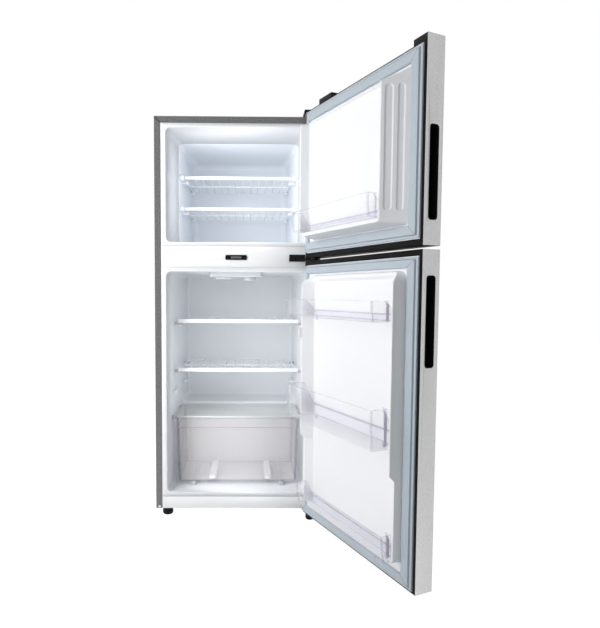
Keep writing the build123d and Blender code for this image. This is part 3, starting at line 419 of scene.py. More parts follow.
def moulded(name, tint, shade, rough=(0.3, 0.45), bump=0.02, specular=0.5):
    """Moulded plastic, rubber, paint or foam with a faint drift of tone and a fine grain."""
    material, nodes, links, shader = new_material(name)
    surface = place_group(
        nodes,
        moulded_surface,
        {
            "Tint": (*tint, 1),
            "Shade": (*shade, 1),
            "Scale": 14.0,
            "Rough Low": rough[0],
            "Rough High": rough[1],
        },
    )
    relief = nodes.new("ShaderNodeBump")
    relief.inputs["Strength"].default_value = bump
    relief.inputs["Distance"].default_value = 0.001
    shader.inputs["Specular IOR Level"].default_value = specular
    links.new(surface.outputs["Color"], shader.inputs["Base Color"])
    links.new(surface.outputs["Roughness"], shader.inputs["Roughness"])
    links.new(surface.outputs["Height"], relief.inputs["Height"])
    links.new(relief.outputs["Normal"], shader.inputs["Normal"])
    return material


foam = moulded("rigid foam", (0.80, 0.70, 0.46), (0.70, 0.60, 0.38), rough=(0.8, 0.95), bump=0.3)
for block in ("cabinet_insulation", "freezer_door_insulation", "fridge_door_insulation"):
    dress(block, foam, bevel=0)

# Freezer liner: white sheet plastic with a flat border inside the steel flange, a rounded
# lip and a mouth that narrows towards the inner box.
liner_white = moulded("liner white", (0.84, 0.85, 0.87), (0.81, 0.82, 0.845))
sheet_wall = 0.0016
lip = 0.0024
border_half = 0.2488
border_corner = 0.0005
freezer_border_low, freezer_border_high = 0.8957, 1.2888
mouth_half = 0.2325
throat_half = 0.203
throat_depth = 0.100
freezer_floor = 0.9095
freezer_head = 1.2755
throat_head = 1.2495
corner = 0.016


def quarter_turn(steps):
    """Angles from 0 to 90 degrees in equal steps, for rounded edges."""
    return [math.radians(90 * step / steps) for step in range(steps + 1)]


def compartment_ring(y, half, low, high, radius):
    """Upright rounded rectangle at a depth."""
    ring = rounded_ring(-half, half, low, high, (radius,) * 4, steps=6)
    return [Vector((u, y, v)) for u, v, side in ring]


def liner_sheet(name, rings, material, node, closed_back):
    """Thin formed sheet in a node's place; its smooth side looks into the compartment."""
    skin = skin_over(rings, first_cap=False, last_cap=closed_back)
    piece = make_piece(name, skin, [material], "cabinet", stands_for=[node])
    wall = piece.modifiers.new("sheet", "SOLIDIFY")
    wall.thickness = sheet_wall
    wall.offset = -1


mouth_rings = [compartment_ring(0, border_half, freezer_border_low, freezer_border_high, border_corner)]
for angle in quarter_turn(6):
    out = lip * (1 - math.sin(angle))
    y = lip * (1 - math.cos(angle))
    narrowing = y / throat_depth
    mouth_rings.append(
        compartment_ring(
            y,
            mouth_half + (throat_half - mouth_half) * narrowing + out,
            freezer_floor - out,
            freezer_head + (throat_head - freezer_head) * narrowing + out,
            corner + out,
        )
    )
mouth_rings.append(compartment_ring(throat_depth, throat_half, freezer_floor, throat_head, corner))
liner_sheet("freezer_mouth", mouth_rings, liner_white, "freezer_liner", False)

# Freezer box: coated aluminium plate drawn into the inner box; channels in the plate carry
# the refrigerant, so it is the evaporator. It slips into the back of the mouth.
freezer_back = 0.405
freezer_taper = 0.018
back_round = 0.024
box_step = 0.0012
box_back_corner = 0.030
box_rim_depths = (0.0992, 0.0996)
box_wall_depths = (0.104, 0.130, 0.250)
freezer_coating = moulded("freezer coating", (0.80, 0.835, 0.88), (0.775, 0.815, 0.865), rough=(0.35, 0.5))


def box_ring(y, inset, radius):
    """Section of the freezer box at a depth, set in from the mouth's throat."""
    half = throat_half - freezer_taper * (y - throat_depth) / (freezer_back - throat_depth)
    return compartment_ring(y, half - inset, freezer_floor + inset, throat_head - inset, radius)


box_rings = [box_ring(y, 0, corner) for y in box_rim_depths]
box_rings += [box_ring(y, box_step, corner) for y in box_wall_depths]
for angle in quarter_turn(7):
    inset = box_step + back_round * (1 - math.cos(angle))
    y = freezer_back - back_round * (1 - math.sin(angle))
    box_rings.append(box_ring(y, inset, max(corner, box_back_corner - inset)))
liner_sheet("freezer_inner_box", box_rings, freezer_coating, "freezer_box", True)

# Fridge liner: white sheet plastic drawn into the deep compartment, with a step in its
# lower back over the compressor.
fridge_border_low, fridge_border_high = 0.0642, 0.8293
fridge_floor = 0.080
fridge_ceiling = 0.813
fridge_depth = 0.440
fridge_taper = 0.0185
step_front = 0.300
step_top = 0.325
step_foot_round = 0.012
fridge_back_round = 0.010
step_nose_round = 0.004
fridge_white = moulded("fridge liner", (0.80, 0.82, 0.845), (0.77, 0.795, 0.82))


def fridge_ring(y, low, inset=0.0, radius=corner):
    """Section of the fridge compartment at a depth."""
    half = mouth_half - fridge_taper * y / fridge_depth
    return compartment_ring(y, half - inset, low + inset, fridge_ceiling - inset, radius)


fridge_rings = [compartment_ring(0, border_half, fridge_border_low, fridge_border_high, border_corner)]
for angle in quarter_turn(6):
    out = lip * (1 - math.sin(angle))
    fridge_rings.append(fridge_ring(lip * (1 - math.cos(angle)), fridge_floor, -out, corner + out))
for angle in quarter_turn(4):
    y = step_front - step_foot_round * (1 - math.sin(angle))
    fridge_rings.append(fridge_ring(y, fridge_floor + step_foot_round * (1 - math.cos(angle))))
for angle in quarter_turn(5):
    y = step_front + step_nose_round * (1 - math.cos(angle))
    fridge_rings.append(fridge_ring(y, step_top - step_nose_round * (1 - math.sin(angle))))
for angle in quarter_turn(6):
    y = fridge_depth - fridge_back_round * (1 - math.sin(angle))
    fridge_rings.append(fridge_ring(y, step_top, fridge_back_round * (1 - math.cos(angle))))
liner_sheet("fridge_compartment", fridge_rings, fridge_white, "fridge_liner", True)

# Mullion cover and base panel: white mouldings that clip between the liners and the steel
# flange, one between the two compartments and one under the fridge's mouth.
front_white = moulded("front white", (0.88, 0.89, 0.90), (0.86, 0.87, 0.885))
for moulding in ("mullion_cover", "base_panel"):
    dress(moulding, front_white, bevel=0.0003)

# Light switch: black moulded plate screwed to the mullion cover, with a plated bar that
# the freezer door presses in.
black_plastic = moulded(
    "black plastic",
    (0.003, 0.003, 0.003),
    (0.005, 0.005, 0.005),
    rough=(0.4, 0.55),
    bump=0.05,
    specular=0.12,
)
plated_bar = flake_metal("plated bar", (0.13, 0.125, 0.13), (0.22, 0.21, 0.215), 300, 0.8)
dress("switch_housing", black_plastic)
dress("switch_plunger", plated_bar, bevel=0.0004)

# Hinges and their screws: pressed steel plates with pins, painted black between the doors
# and zinc plated under and over them; a black cap covers the upper one.
black_paint = moulded(
    "black paint", (0.004, 0.004, 0.004), (0.007, 0.007, 0.007), rough=(0.3, 0.4), specular=0.12
)
plated = flake_metal("zinc plating", (0.34, 0.37, 0.36), (0.56, 0.60, 0.58), 250, 0.8)
dress("top_hinge", plated)
dress("centre_hinge", black_paint)
dress("bottom_hinge", plated)
dress("hinge_screws", black_paint, bevel=0.0004)
dress("top_hinge_cover", black_plastic)

# Feet: black plastic pads. The front pair turns on studs to level the cabinet, and the
# rear pair is fixed under the compressor tray.
for foot in ("front_left_foot", "front_right_foot", "rear_feet"):
    dress(foot, black_plastic)

# Cooling system: welded steel compressor on rubber mounts, its relay cover and drip tray,
# and copper tube that is brazed to it and bonded to the inside of the back panel.
dress("compressor", black_paint)
compressor_low, compressor_high = (Vector(point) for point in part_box("compressor"))
weld_up = 0.055
weld_ridge = (
    (0.0615, 0),
    (0.0655, 0.0008),
    (0.0662, 0.002),
    (0.0662, 0.005),
    (0.0655, 0.0062),
    (0.0615, 0.007),
)
turned(
    "compressor_seam",
    (0, (compressor_low.y + compressor_high.y) / 2, compressor_low.z + weld_up),
    (0, 0, 1),
    weld_ridge,
    black_paint,
    "cabinet",
    steps=64,
)
mount_rubber = moulded("mount rubber", (0.02, 0.02, 0.02), (0.03, 0.03, 0.03), rough=(0.7, 0.85))
dress("compressor_mounts", mount_rubber)
dress("relay_cover", black_plastic)
dress("drip_tray", black_plastic)
copper = flake_metal("copper tube", (0.50, 0.24, 0.13), (0.68, 0.36, 0.22), 180, 0.95)
for tube in ("suction_line", "condenser_tube"):
    dress(tube, copper, bevel=0)

# Wire shelves: welded steel wire with a white coating, held by a glossy white front trim,
# on small rests moulded to the walls. The fridge has a spare set of rests lower down.
wire_white = moulded("wire coating", (0.80, 0.84, 0.87), (0.76, 0.80, 0.84), rough=(0.25, 0.35))
trim_white = moulded("trim white", (0.90, 0.91, 0.93), (0.88, 0.89, 0.91), rough=(0.18, 0.28))
for room in ("freezer", "fridge"):
    for place in ("lower", "upper"):
        dress(f"{room}_shelf_{place}_wires", wire_white, bevel=0)
        dress(f"{room}_shelf_{place}_trim", trim_white, bevel=0.0004)
support_white = moulded("support white", (0.50, 0.52, 0.545), (0.47, 0.49, 0.52))
dress("freezer_shelf_rests", freezer_coating, bevel=0.0015, segments=3)
dress("fridge_supports", support_white, bevel=0.0015, segments=3)


def rounded_block(name, low, high, radius, material):
    """Small block moulded to a wall of the cabinet, with rounded edges all round."""
    low, high = Vector(low), Vector(high)
    least = 0.0004
    rows = []
    for angle in quarter_turn(3):
        rows.append((radius * (1 - math.sin(angle)), low.y + radius * (1 - math.cos(angle))))
    for angle in quarter_turn(3):
        rows.append((radius * (1 - math.cos(angle)), high.y - radius * (1 - math.sin(angle))))
    rings = []
    for inset, y in rows:
        radii = (max(radius - inset, least),) * 4
        ring = rounded_ring(low.x + inset, high.x - inset, low.z + inset, high.z - inset, radii, steps=4)
        rings.append([Vector((u, y, v)) for u, v, side in reversed(ring)])
    make_piece(name, skin_over(rings), [material], "cabinet")


block_round = 0.003
stop_inner, stop_outer = 0.1868, 0.2016
stop_front, stop_back = 0.101, 0.118
stop_margin = 0.003
for place in ("lower", "upper"):
    trim_low, trim_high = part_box(f"freezer_shelf_{place}_trim")
    for side, label in both_sides:
        left, right = sorted((side * stop_inner, side * stop_outer))
        rounded_block(
            f"freezer_{place}_stop_{label}",
            (left, stop_front, trim_low[2] - stop_margin),
            (right, stop_back, trim_high[2] + stop_margin),
            block_round,
            freezer_coating,
        )
spare_low = 0.392
spare_height = 0.009
spare_reach = 0.009
for side, label in both_sides:
    for front, back in ((0.100, 0.200), (0.335, 0.420)):
        inner = side * (mouth_half - fridge_taper * back / fridge_depth - spare_reach)
        outer = side * (mouth_half - fridge_taper * front / fridge_depth)
        left, right = sorted((inner, outer))
        rounded_block(
            f"spare_rest_{label}_{int(front * 1000)}",
            (left, front, spare_low),
            (right, back, spare_low + spare_height),
            block_round,
            fridge_white,
        )

# Control box: white moulding under the fridge ceiling with the thermostat inside; its dial
# and the lamp's frosted lens look down.
control_white = moulded("control white", (0.62, 0.64, 0.66), (0.59, 0.61, 0.635))
lens_white = moulded("lamp lens", (0.58, 0.60, 0.61), (0.55, 0.57, 0.58), rough=(0.2, 0.3))
dial_grey = moulded("dial grey", (0.62, 0.64, 0.66), (0.58, 0.60, 0.62))
dress("control_box", control_white, bevel=0.002, segments=3)
dress("lamp_lens", lens_white)
dress("thermostat_dial", dial_grey)

# Crisper: a clear styrene drawer with a turned out band round its rim and two frosted ridges
# on its floor, under a flat sheet of glass with a white trim pushed on its front edge.


def worked_out(nodes, links, operation, first, second):
    """Output of a Math node that takes a socket, and a second socket or a number."""
    node = nodes.new("ShaderNodeMath")
    node.operation = operation
    links.new(first, node.inputs[0])
    if isinstance(second, float):
        node.inputs[1].default_value = second
    else:
        links.new(second, node.inputs[1])
    return node.outputs["Value"]


def clear_moulding(name, tint, edge_tint, clear, edge):
    """Clear plastic or glass: nearly open face on, denser and tinted where seen along it,
    and closed behind several other clear faces, where light through it would be lost."""
    material, nodes, links, shader = new_material(name)
    most_faces = 4.5
    facing = nodes.new("ShaderNodeLayerWeight")
    facing.inputs["Blend"].default_value = 0.35
    density = nodes.new("ShaderNodeMapRange")
    density.inputs["To Min"].default_value = clear
    density.inputs["To Max"].default_value = edge
    gloss = place_group(nodes, moulded_surface, {"Scale": 9.0, "Rough Low": 0.05, "Rough High": 0.12})
    mix = nodes.new("ShaderNodeMix")
    mix.data_type = "RGBA"
    mix.inputs["A"].default_value = (*tint, 1)
    mix.inputs["B"].default_value = (*edge_tint, 1)
    ray = nodes.new("ShaderNodeLightPath")
    behind = worked_out(nodes, links, "GREATER_THAN", ray.outputs["Transparent Depth"], most_faces)
    lit = worked_out(nodes, links, "SUBTRACT", behind, ray.outputs["Is Shadow Ray"])
    closed = worked_out(nodes, links, "MAXIMUM", density.outputs["Result"], lit)
    links.new(facing.outputs["Facing"], density.inputs["Value"])
    links.new(facing.outputs["Facing"], mix.inputs["Factor"])
    links.new(closed, shader.inputs["Alpha"])
    links.new(gloss.outputs["Roughness"], shader.inputs["Roughness"])
    links.new(mix.outputs["Result"], shader.inputs["Base Color"])
    return material


glass_trim = moulded("glass trim", (0.50, 0.52, 0.53), (0.47, 0.49, 0.50), rough=(0.2, 0.3))
shelf_glass = clear_moulding("shelf glass", (0.95, 0.975, 0.97), (0.88, 0.945, 0.93), 0.05, 0.50)
dress("crisper_glass_trim", glass_trim, bevel=0.0004)
dress("crisper_glass", shelf_glass, bevel=0.0004)
drawer_clear = clear_moulding("drawer clear", (0.97, 0.955, 0.975), (0.92, 0.90, 0.94), 0.14, 0.28)
drawer_edge = clear_moulding("drawer edge", (0.38, 0.35, 0.43), (0.28, 0.25, 0.34), 0.36, 0.72)
drawer_half = 0.2115
drawer_front, drawer_back = 0.063, 0.287
drawer_low, drawer_top = 0.093, 0.315
drawer_draft = 0.0055
drawer_wall = 0.0025
drawer_foot = 0.004
drawer_corner = 0.0075
band_height = 0.033
band_step = 0.0016
band_lean = 0.0002
rim_round, rim_inner_round = 0.0008, 0.0006
drawer_rows = []
for angle in quarter_turn(3):
    z = drawer_low + drawer_foot * (1 - math.cos(angle))
    drawer_rows.append((z, band_step + drawer_foot * (1 - math.sin(angle))))
drawer_rows += [
    (drawer_top - band_height - band_step, band_step),
    (drawer_top - band_height, band_lean),
    (drawer_top - rim_round, 0.0),
    (drawer_top, rim_round),
    (drawer_top, drawer_wall - rim_inner_round),
    (drawer_top - rim_round, drawer_wall),
    (drawer_top - band_height, drawer_wall + band_lean),
    (drawer_top - band_height - band_step, drawer_wall + band_step),
]
for angle in reversed(quarter_turn(3)):
    z = drawer_low + drawer_wall + drawer_foot * (1 - math.cos(angle))
    drawer_rows.append((z, drawer_wall + band_step + drawer_foot * (1 - math.sin(angle))))
drawer_rings = []
for z, inset in drawer_rows:
    inset += drawer_draft * (drawer_top - z) / (drawer_top - drawer_low)
    outline = rounded_ring(
        inset - drawer_half,
        drawer_half - inset,
        drawer_front + inset,
        drawer_back - inset,
        (drawer_corner,) * 4,
        steps=4,
    )
    drawer_rings.append([Vector((u, v, z)) for u, v, side in outline])
# The foot, the band's step, the rim and the upright corners are seen edge on.
edge_rows = {0, 1, 4, 6, 7, 8, 10, 13}
edge_columns = [
    (outline[(here + 1) % len(outline)][2] - outline[here][2]) % 4 > 0.001 for here in range(len(outline))
]
choices = [
    1 if row in edge_rows or edge_columns[here] else 0
    for row in range(len(drawer_rings) - 1)
    for here in range(len(outline))
] + [0, 0]
make_piece(
    "crisper_tub",
    skin_over(drawer_rings),
    [drawer_clear, drawer_edge],
    "crisper_drawer_body",
    stands_for=["crisper_drawer"],
    choices=choices,
)
drawer_frost = moulded("drawer frost", (0.80, 0.78, 0.82), (0.77, 0.75, 0.79), rough=(0.3, 0.4))
ridge_half = 0.013
ridge_round = 0.0128
ridge_end = 0.020
ridge_height = 0.010
ridge_shoulder = 0.006
for label, x in (("left", -0.088), ("right", 0.108)):
    ridge_rings = []
    for angle in quarter_turn(4):
        inset = ridge_shoulder * (1 - math.cos(angle))
        z = drawer_low + drawer_wall + ridge_height * math.sin(angle)
        ring = rounded_ring(
            x - ridge_half + inset,
            x + ridge_half - inset,
            drawer_front + ridge_end + inset,
            drawer_back - ridge_end - inset,
            (ridge_round - inset,) * 4,
            steps=5,
        )
        ridge_rings.append([Vector((u, v, z)) for u, v, side in ring])
    make_piece(
        f"crisper_ridge_{label}",
        skin_over(ridge_rings),
        [drawer_frost],
        "crisper_drawer_body",
        sharp=60,
    )

# Door shells: a silver skin folded round the front and both edges, with black caps at the
# ends, black strips along the edges of the inner side that are moulded to the lower cap,
# and a black grip let into the free edge.
silver = flake_metal(
    "silver skin",
    (0.60, 0.60, 0.60),
    (0.76, 0.76, 0.76),
    900,
    0.70,
    stretch=(0.35, 0.35, 1.0),
    rough=(0.60, 0.46),
)
for door in ("freezer", "fridge"):
    dress(f"{door}_door_skin", silver, bevel=0.0003)
    for part in ("top_cap", "bottom_cap", "grip"):
        dress(f"{door}_door_{part}", black_plastic, bevel=0.0005)

# Door gaskets: soft grey PVC welded into a ring at mitred corners, a magnet strip in its
# broad bulb and thin lips outside it, pushed into a groove round the door liner.
hinge = next(joint for joint in frame["joints"] if joint["name"] == "fridge_door_hinge")
door_width = 0.540
door_standoff = 0.011
pin = Vector(hinge["pos_m"])
opened = Matrix.Rotation(math.radians(-hinge["range_deg"][0]), 3, "Z")
along = opened @ Vector((-1, 0, 0))
inward = opened @ Vector((0, 1, 0))
door_corner = pin + opened @ (Vector((door_width / 2, -door_standoff, 0)) - pin)


def door_point(s, p, z):
    """Point on an open door: s along it from the hinge edge, p in from its inner face, z up."""
    return door_corner + along * s + inward * p + Vector((0, 0, z))


gasket_grey = moulded("gasket grey", (0.45, 0.505, 0.555), (0.425, 0.48, 0.53), rough=(0.5, 0.65))
gasket_seam = moulded("gasket seam", (0.16, 0.17, 0.20), (0.13, 0.14, 0.17), rough=(0.6, 0.7))
# Share of the way in from the seal's outer edge, and rise off the door.
gasket_profile = (
    (0.00, 0.0),
    (0.00, 0.0040),
    (0.04, 0.0052),
    (0.08, 0.0056),
    (0.16, 0.0056),
    (0.19, 0.0050),
    (0.205, 0.0034),
    (0.24, 0.0034),
    (0.255, 0.0070),
    (0.28, 0.0083),
    (0.34, 0.0088),
    (0.60, 0.0090),
    (0.90, 0.0087),
    (0.96, 0.0080),
    (1.00, 0.0062),
    (1.00, 0.0),
)
seal_hinge_edge, seal_hinge_width = 0.010, 0.018
seal_free_edge, seal_free_width = 0.530, 0.036
mitre_rise = 0.0086
mitre_from, mitre_to = 0.3, 0.97
seal_mitre_width = 0.0009


def seal_corners(low, high, end_width, share):
    """Corners (s, z) of a seal's ring that lies a share of the way in from its outer edge."""
    start = seal_hinge_edge + seal_hinge_width * share
    end = seal_free_edge - seal_free_width * share
    bottom, top = low + end_width * share, high - end_width * share
    return (start, bottom), (end, bottom), (end, top), (start, top)


for door, low, high, end_width in (("freezer", 0.8733, 1.310, 0.031), ("fridge", 0.0332, 0.8305, 0.025)):
    gasket_rings = [
        [door_point(s, rise, z) for s, z in seal_corners(low, high, end_width, share)]
        for share, rise in gasket_profile
    ]
    points, faces = skin_over(gasket_rings, first_cap=False, last_cap=False)
    back = len(points) - 4
    faces += [(back + here, back + (here + 1) % 4, (here + 1) % 4, here) for here in range(4)]
    make_piece(
        f"{door}_seal",
        (points, faces),
        [gasket_grey],
        f"{door}_door",
        stands_for=[f"{door}_door_gasket"],
    )
    outer_corners = seal_corners(low, high, end_width, mitre_from)
    inner_corners = seal_corners(low, high, end_width, mitre_to)
    labels = ("low_hinge", "low_free", "high_free", "high_hinge")
    for label, outer, inner in zip(labels, outer_corners, inner_corners):
        start = door_point(outer[0], mitre_rise, outer[1])
        end = door_point(inner[0], mitre_rise, inner[1])
        dark_line(
            f"{door}_seal_seam_{label}",
            start,
            end,
            (end - start).cross(inward),
            inward,
            seal_mitre_width,
            mitre_height,
            gasket_seam,
            f"{door}_door",
        )

# Door liners: white sheet plastic drawn over a plug: two long walls with a flat panel
# between them that the bins hang in. The freezer's outer wall has two long flutes.
door_white = moulded("door liner white", (0.86, 0.87, 0.89), (0.84, 0.85, 0.875))


def rounded_profile(corners, steps, slope_parts):
    """Section of a moulding's side as (offset, rise), each corner given with a radius."""
    path = [Vector(corners[0][:2])]
    for here in range(1, len(corners) - 1):
        middle = Vector(corners[here][:2])
        before = (Vector(corners[here - 1][:2]) - middle).normalized()
        after = (Vector(corners[here + 1][:2]) - middle).normalized()
        reach = corners[here][2] / math.tan(before.angle(after) / 2)
        first, last = middle + before * reach, middle + after * reach
        if here == 2:
            foot = path[-1]
            path += [foot.lerp(first, part / slope_parts) for part in range(1, slope_parts)]
        for step in range(steps + 1):
            share = step / steps
            path.append(first * (1 - share) ** 2 + middle * 2 * share * (1 - share) + last * share ** 2)
    return path + [Vector(corners[-1][:2])]


def door_liner(name, door, size, sides, outer_radii, inner_radii, lines, slope_parts, shape):
    """Drawn door liner as nested rings from its border in to the panel."""
    start, end, low, high = size
    steps = 4
    border_thickness, border_round = 0.002, 0.001
    paths = [rounded_profile(side, steps, slope_parts) for side in sides]
    slope_first = 1 + steps
    slope_last = slope_first + slope_parts
    rings = []
    for row in range(len(paths[0])):
        if row == 0:
            radii = (border_round,) * 4
        elif row <= slope_last + steps:
            radii = outer_radii
        else:
            radii = inner_radii
        offsets = [path[row].x for path in paths]
        rises = [path[row].y for path in paths]
        slope_share = (row - slope_first) / slope_parts
        ring = []
        for s, z, side in rounded_ring(
            start + offsets[3], end - offsets[1], low + offsets[0], high - offsets[2], radii, 8, *lines
        ):
            before = int(side) % 4
            turn = side - int(side)
            turn = turn * turn * (3 - 2 * turn)
            p = rises[before] * (1 - turn) + rises[(before + 1) % 4] * turn
            ring.append(door_point(*shape(s, p, z, side, slope_share)))
        if row == 0:
            rings.append([point - inward * border_thickness for point in ring])
        rings.append(ring)
    make_piece(
        name,
        skin_over(rings),
        [door_white],
        f"{door}_door",
        stands_for=[f"{door}_door_liner"],
        sharp=50,
    )


flute_depth = 0.0017
flute_fullness = 1.7
flute_low, flute_high = 0.942, 1.236
# Each flute's middle, as a share of the slope, and half its width.
flutes = ((0.74, 0.0100), (0.315, 0.0082))
freezer_plug, freezer_panel = 0.060, 0.032
free_slope = Vector((0.039, freezer_plug))


def freezer_wall(s, p, z, side, slope_share):
    """Presses the two flutes into the freezer door's outer wall."""
    if side == 1 and 0 <= slope_share <= 1:
        for middle, half in flutes:
            across = (slope_share - middle) * free_slope.length
            beyond = max(flute_low + half - z, z - flute_high + half, 0)
            apart = math.hypot(across, beyond) / half
            if apart < 1:
                depth = flute_depth * min(1.0, flute_fullness * math.sqrt(1 - apart * apart))
                s -= depth * free_slope.y / free_slope.length
                p -= depth * free_slope.x / free_slope.length
    return s, p, z


# Each side of a liner from its border in: offset, rise and the radius of its corner.
freezer_bottom_side = (
    (-0.0378, 0),
    (0, 0, 0.003),
    (0.006, freezer_plug, 0.0035),
    (0.0168, freezer_plug, 0.0020),
    (0.0178, freezer_panel, 0.0005),
    (0.022, freezer_panel),
)
freezer_free_side = (
    (-0.0356, 0),
    (0, 0, 0.004),
    (free_slope.x, freezer_plug, 0.0035),
    (0.044, freezer_plug, 0.0033),
    (0.053, freezer_panel, 0.008),
    (0.070, freezer_panel),
)
freezer_top_side = (
    (-0.0258, 0),
    (0, 0, 0.004),
    (0.020, 0.0362, 0.004),
    (0.0235, 0.0405, 0.001),
    (0.028, freezer_panel, 0.003),
    (0.032, freezer_panel),
)
freezer_hinge_side = (
    (-0.0206, 0),
    (0, 0, 0.004),
    (0.033, freezer_plug, 0.0035),
    (0.038, freezer_plug, 0.0033),
    (0.047, freezer_panel, 0.008),
    (0.064, freezer_panel),
)
panel_columns = (0.15, 0.27, 0.38)
flute_end_rows = [0.0011 * row for row in range(12)]
flute_rows = [flute_low + row for row in flute_end_rows]
flute_rows += [0.975, 1.02, 1.07, 1.12, 1.17, 1.20]
flute_rows += [flute_high - row for row in reversed(flute_end_rows)]
door_liner(
    "freezer_door_panel",
    "freezer",
    size=(0.033, 0.492, 0.9093, 1.274),
    sides=(freezer_bottom_side, freezer_free_side, freezer_top_side, freezer_hinge_side),
    outer_radii=(0.012, 0.012, 0.028, 0.028),
    inner_radii=(0.003, 0.004, 0.004, 0.003),
    lines=(panel_columns, flute_rows),
    slope_parts=44,
    shape=freezer_wall,
)

fridge_plug, fridge_panel = 0.040, 0.004
fridge_head_rise = 0.010
low_wall = 0.026
low_wall_top = 0.2902
low_wall_ramp = 0.014


def fridge_wall(s, p, z, side, slope_share):
    """Lowers the fridge door's walls beside the bottom bin."""
    limit = low_wall + max(0.0, min(z - low_wall_top, low_wall_ramp))
    return s, min(p, limit), z


fridge_bottom_side = (
    (-0.0408, 0),
    (0, 0, 0.0004),
    (0.0006, fridge_panel, 0.0002),
    (0.001, fridge_panel, 0.0001),
    (0.0015, fridge_panel, 0.0002),
    (0.0025, fridge_panel),
)
fridge_free_side = (
    (-0.0366, 0),
    (0, 0, 0.003),
    (0.005, fridge_plug, 0.0022),
    (0.010, fridge_plug, 0.0022),
    (0.028, fridge_panel, 0.008),
    (0.048, fridge_panel),
)
fridge_top_side = (
    (-0.0318, 0),
    (0, 0, 0.003),
    (0.004, fridge_head_rise, 0.003),
    (0.012, fridge_head_rise, 0.003),
    (0.020, fridge_panel, 0.004),
    (0.030, fridge_panel),
)
fridge_hinge_side = (
    (-0.0236, 0),
    (0, 0, 0.004),
    (0.012, fridge_plug, 0.0026),
    (0.017, fridge_plug, 0.0026),
    (0.035, fridge_panel, 0.008),
    (0.055, fridge_panel),
)
ramp_rows = (0.284, 0.288, low_wall_top, 0.2925, 0.297, 0.3015, 0.3042, 0.307, 0.312)
door_liner(
    "fridge_door_panel",
    "fridge",
    size=(0.036, 0.491, 0.0832, 0.8005),
    sides=(fridge_bottom_side, fridge_free_side, fridge_top_side, fridge_hinge_side),
    outer_radii=(0.010, 0.030, 0.030, 0.028),
    inner_radii=(0.002, 0.020, 0.020, 0.002),
    lines=(panel_columns, (0.125, 0.20, 0.26, *ramp_rows, 0.36, 0.45, 0.55, 0.65, 0.71, 0.745)),
    slope_parts=8,
    shape=fridge_wall,
)


def door_block(name, low, high, radius):
    """Small block moulded to the fridge door's liner; its corners are (s, p, z)."""
    least = 0.0003
    rows = [(0.0, low[1])]
    for angle in quarter_turn(4):
        rows.append((radius * (1 - math.cos(angle)), high[1] - radius + radius * math.sin(angle)))
    rings = []
    for inset, p in rows:
        radii = (max(radius - inset, least),) * 4
        sizes = (low[0] + inset, high[0] - inset, low[2] + inset, high[2] - inset)
        rings.append([door_point(s, p, z) for s, z, side in rounded_ring(*sizes, radii, steps=4)])
    make_piece(name, skin_over(rings), [door_white], "fridge_door")


door_block("fridge_wall_tab", (0.0478, 0.036, 0.6055), (0.0532, 0.050, 0.6375), 0.0024)
egg_low, bottle_low = 0.6765, 0.3682
lug_half = 0.006
lug_back, lug_front = 0.003, 0.010
lug_height, lug_play = 0.012, 0.0003
lug_round = 0.0018
for shelf, bin_low in (("egg", egg_low), ("bottle", bottle_low)):
    lug_top = bin_low - lug_play
    for label, s in (("hinge", 0.0843), ("free", 0.4497)):
        door_block(
            f"{shelf}_lug_{label}",
            (s - lug_half, lug_back, lug_top - lug_height),
            (s + lug_half, lug_front, lug_top),
            lug_round,
        )

# Door bins: clear styrene trays moulded in one piece, hung between the walls of the liners
# on a tongue along the back; their edges show violet.
bin_clear = clear_moulding("bin clear", (0.94, 0.94, 0.97), (0.86, 0.85, 0.92), 0.02, 0.13)
bin_edge = clear_moulding("bin edge", (0.70, 0.69, 0.82), (0.54, 0.52, 0.72), 0.22, 0.52)
bin_wall = 0.0024


def rounded_outline(corners, steps):
    """Closed outline with each corner, given as (s, p, radius), rounded off."""
    outline = []
    for here, (s, p, radius) in enumerate(corners):
        middle = Vector((s, p))
        before = (Vector(corners[here - 1][:2]) - middle).normalized() * radius
        after = (Vector(corners[(here + 1) % len(corners)][:2]) - middle).normalized() * radius
        for step in range(steps + 1):
            share = step / steps
            outline.append(
                (middle + before) * (1 - share) ** 2
                + middle * 2 * share * (1 - share)
                + (middle + after) * share ** 2
            )
    return outline


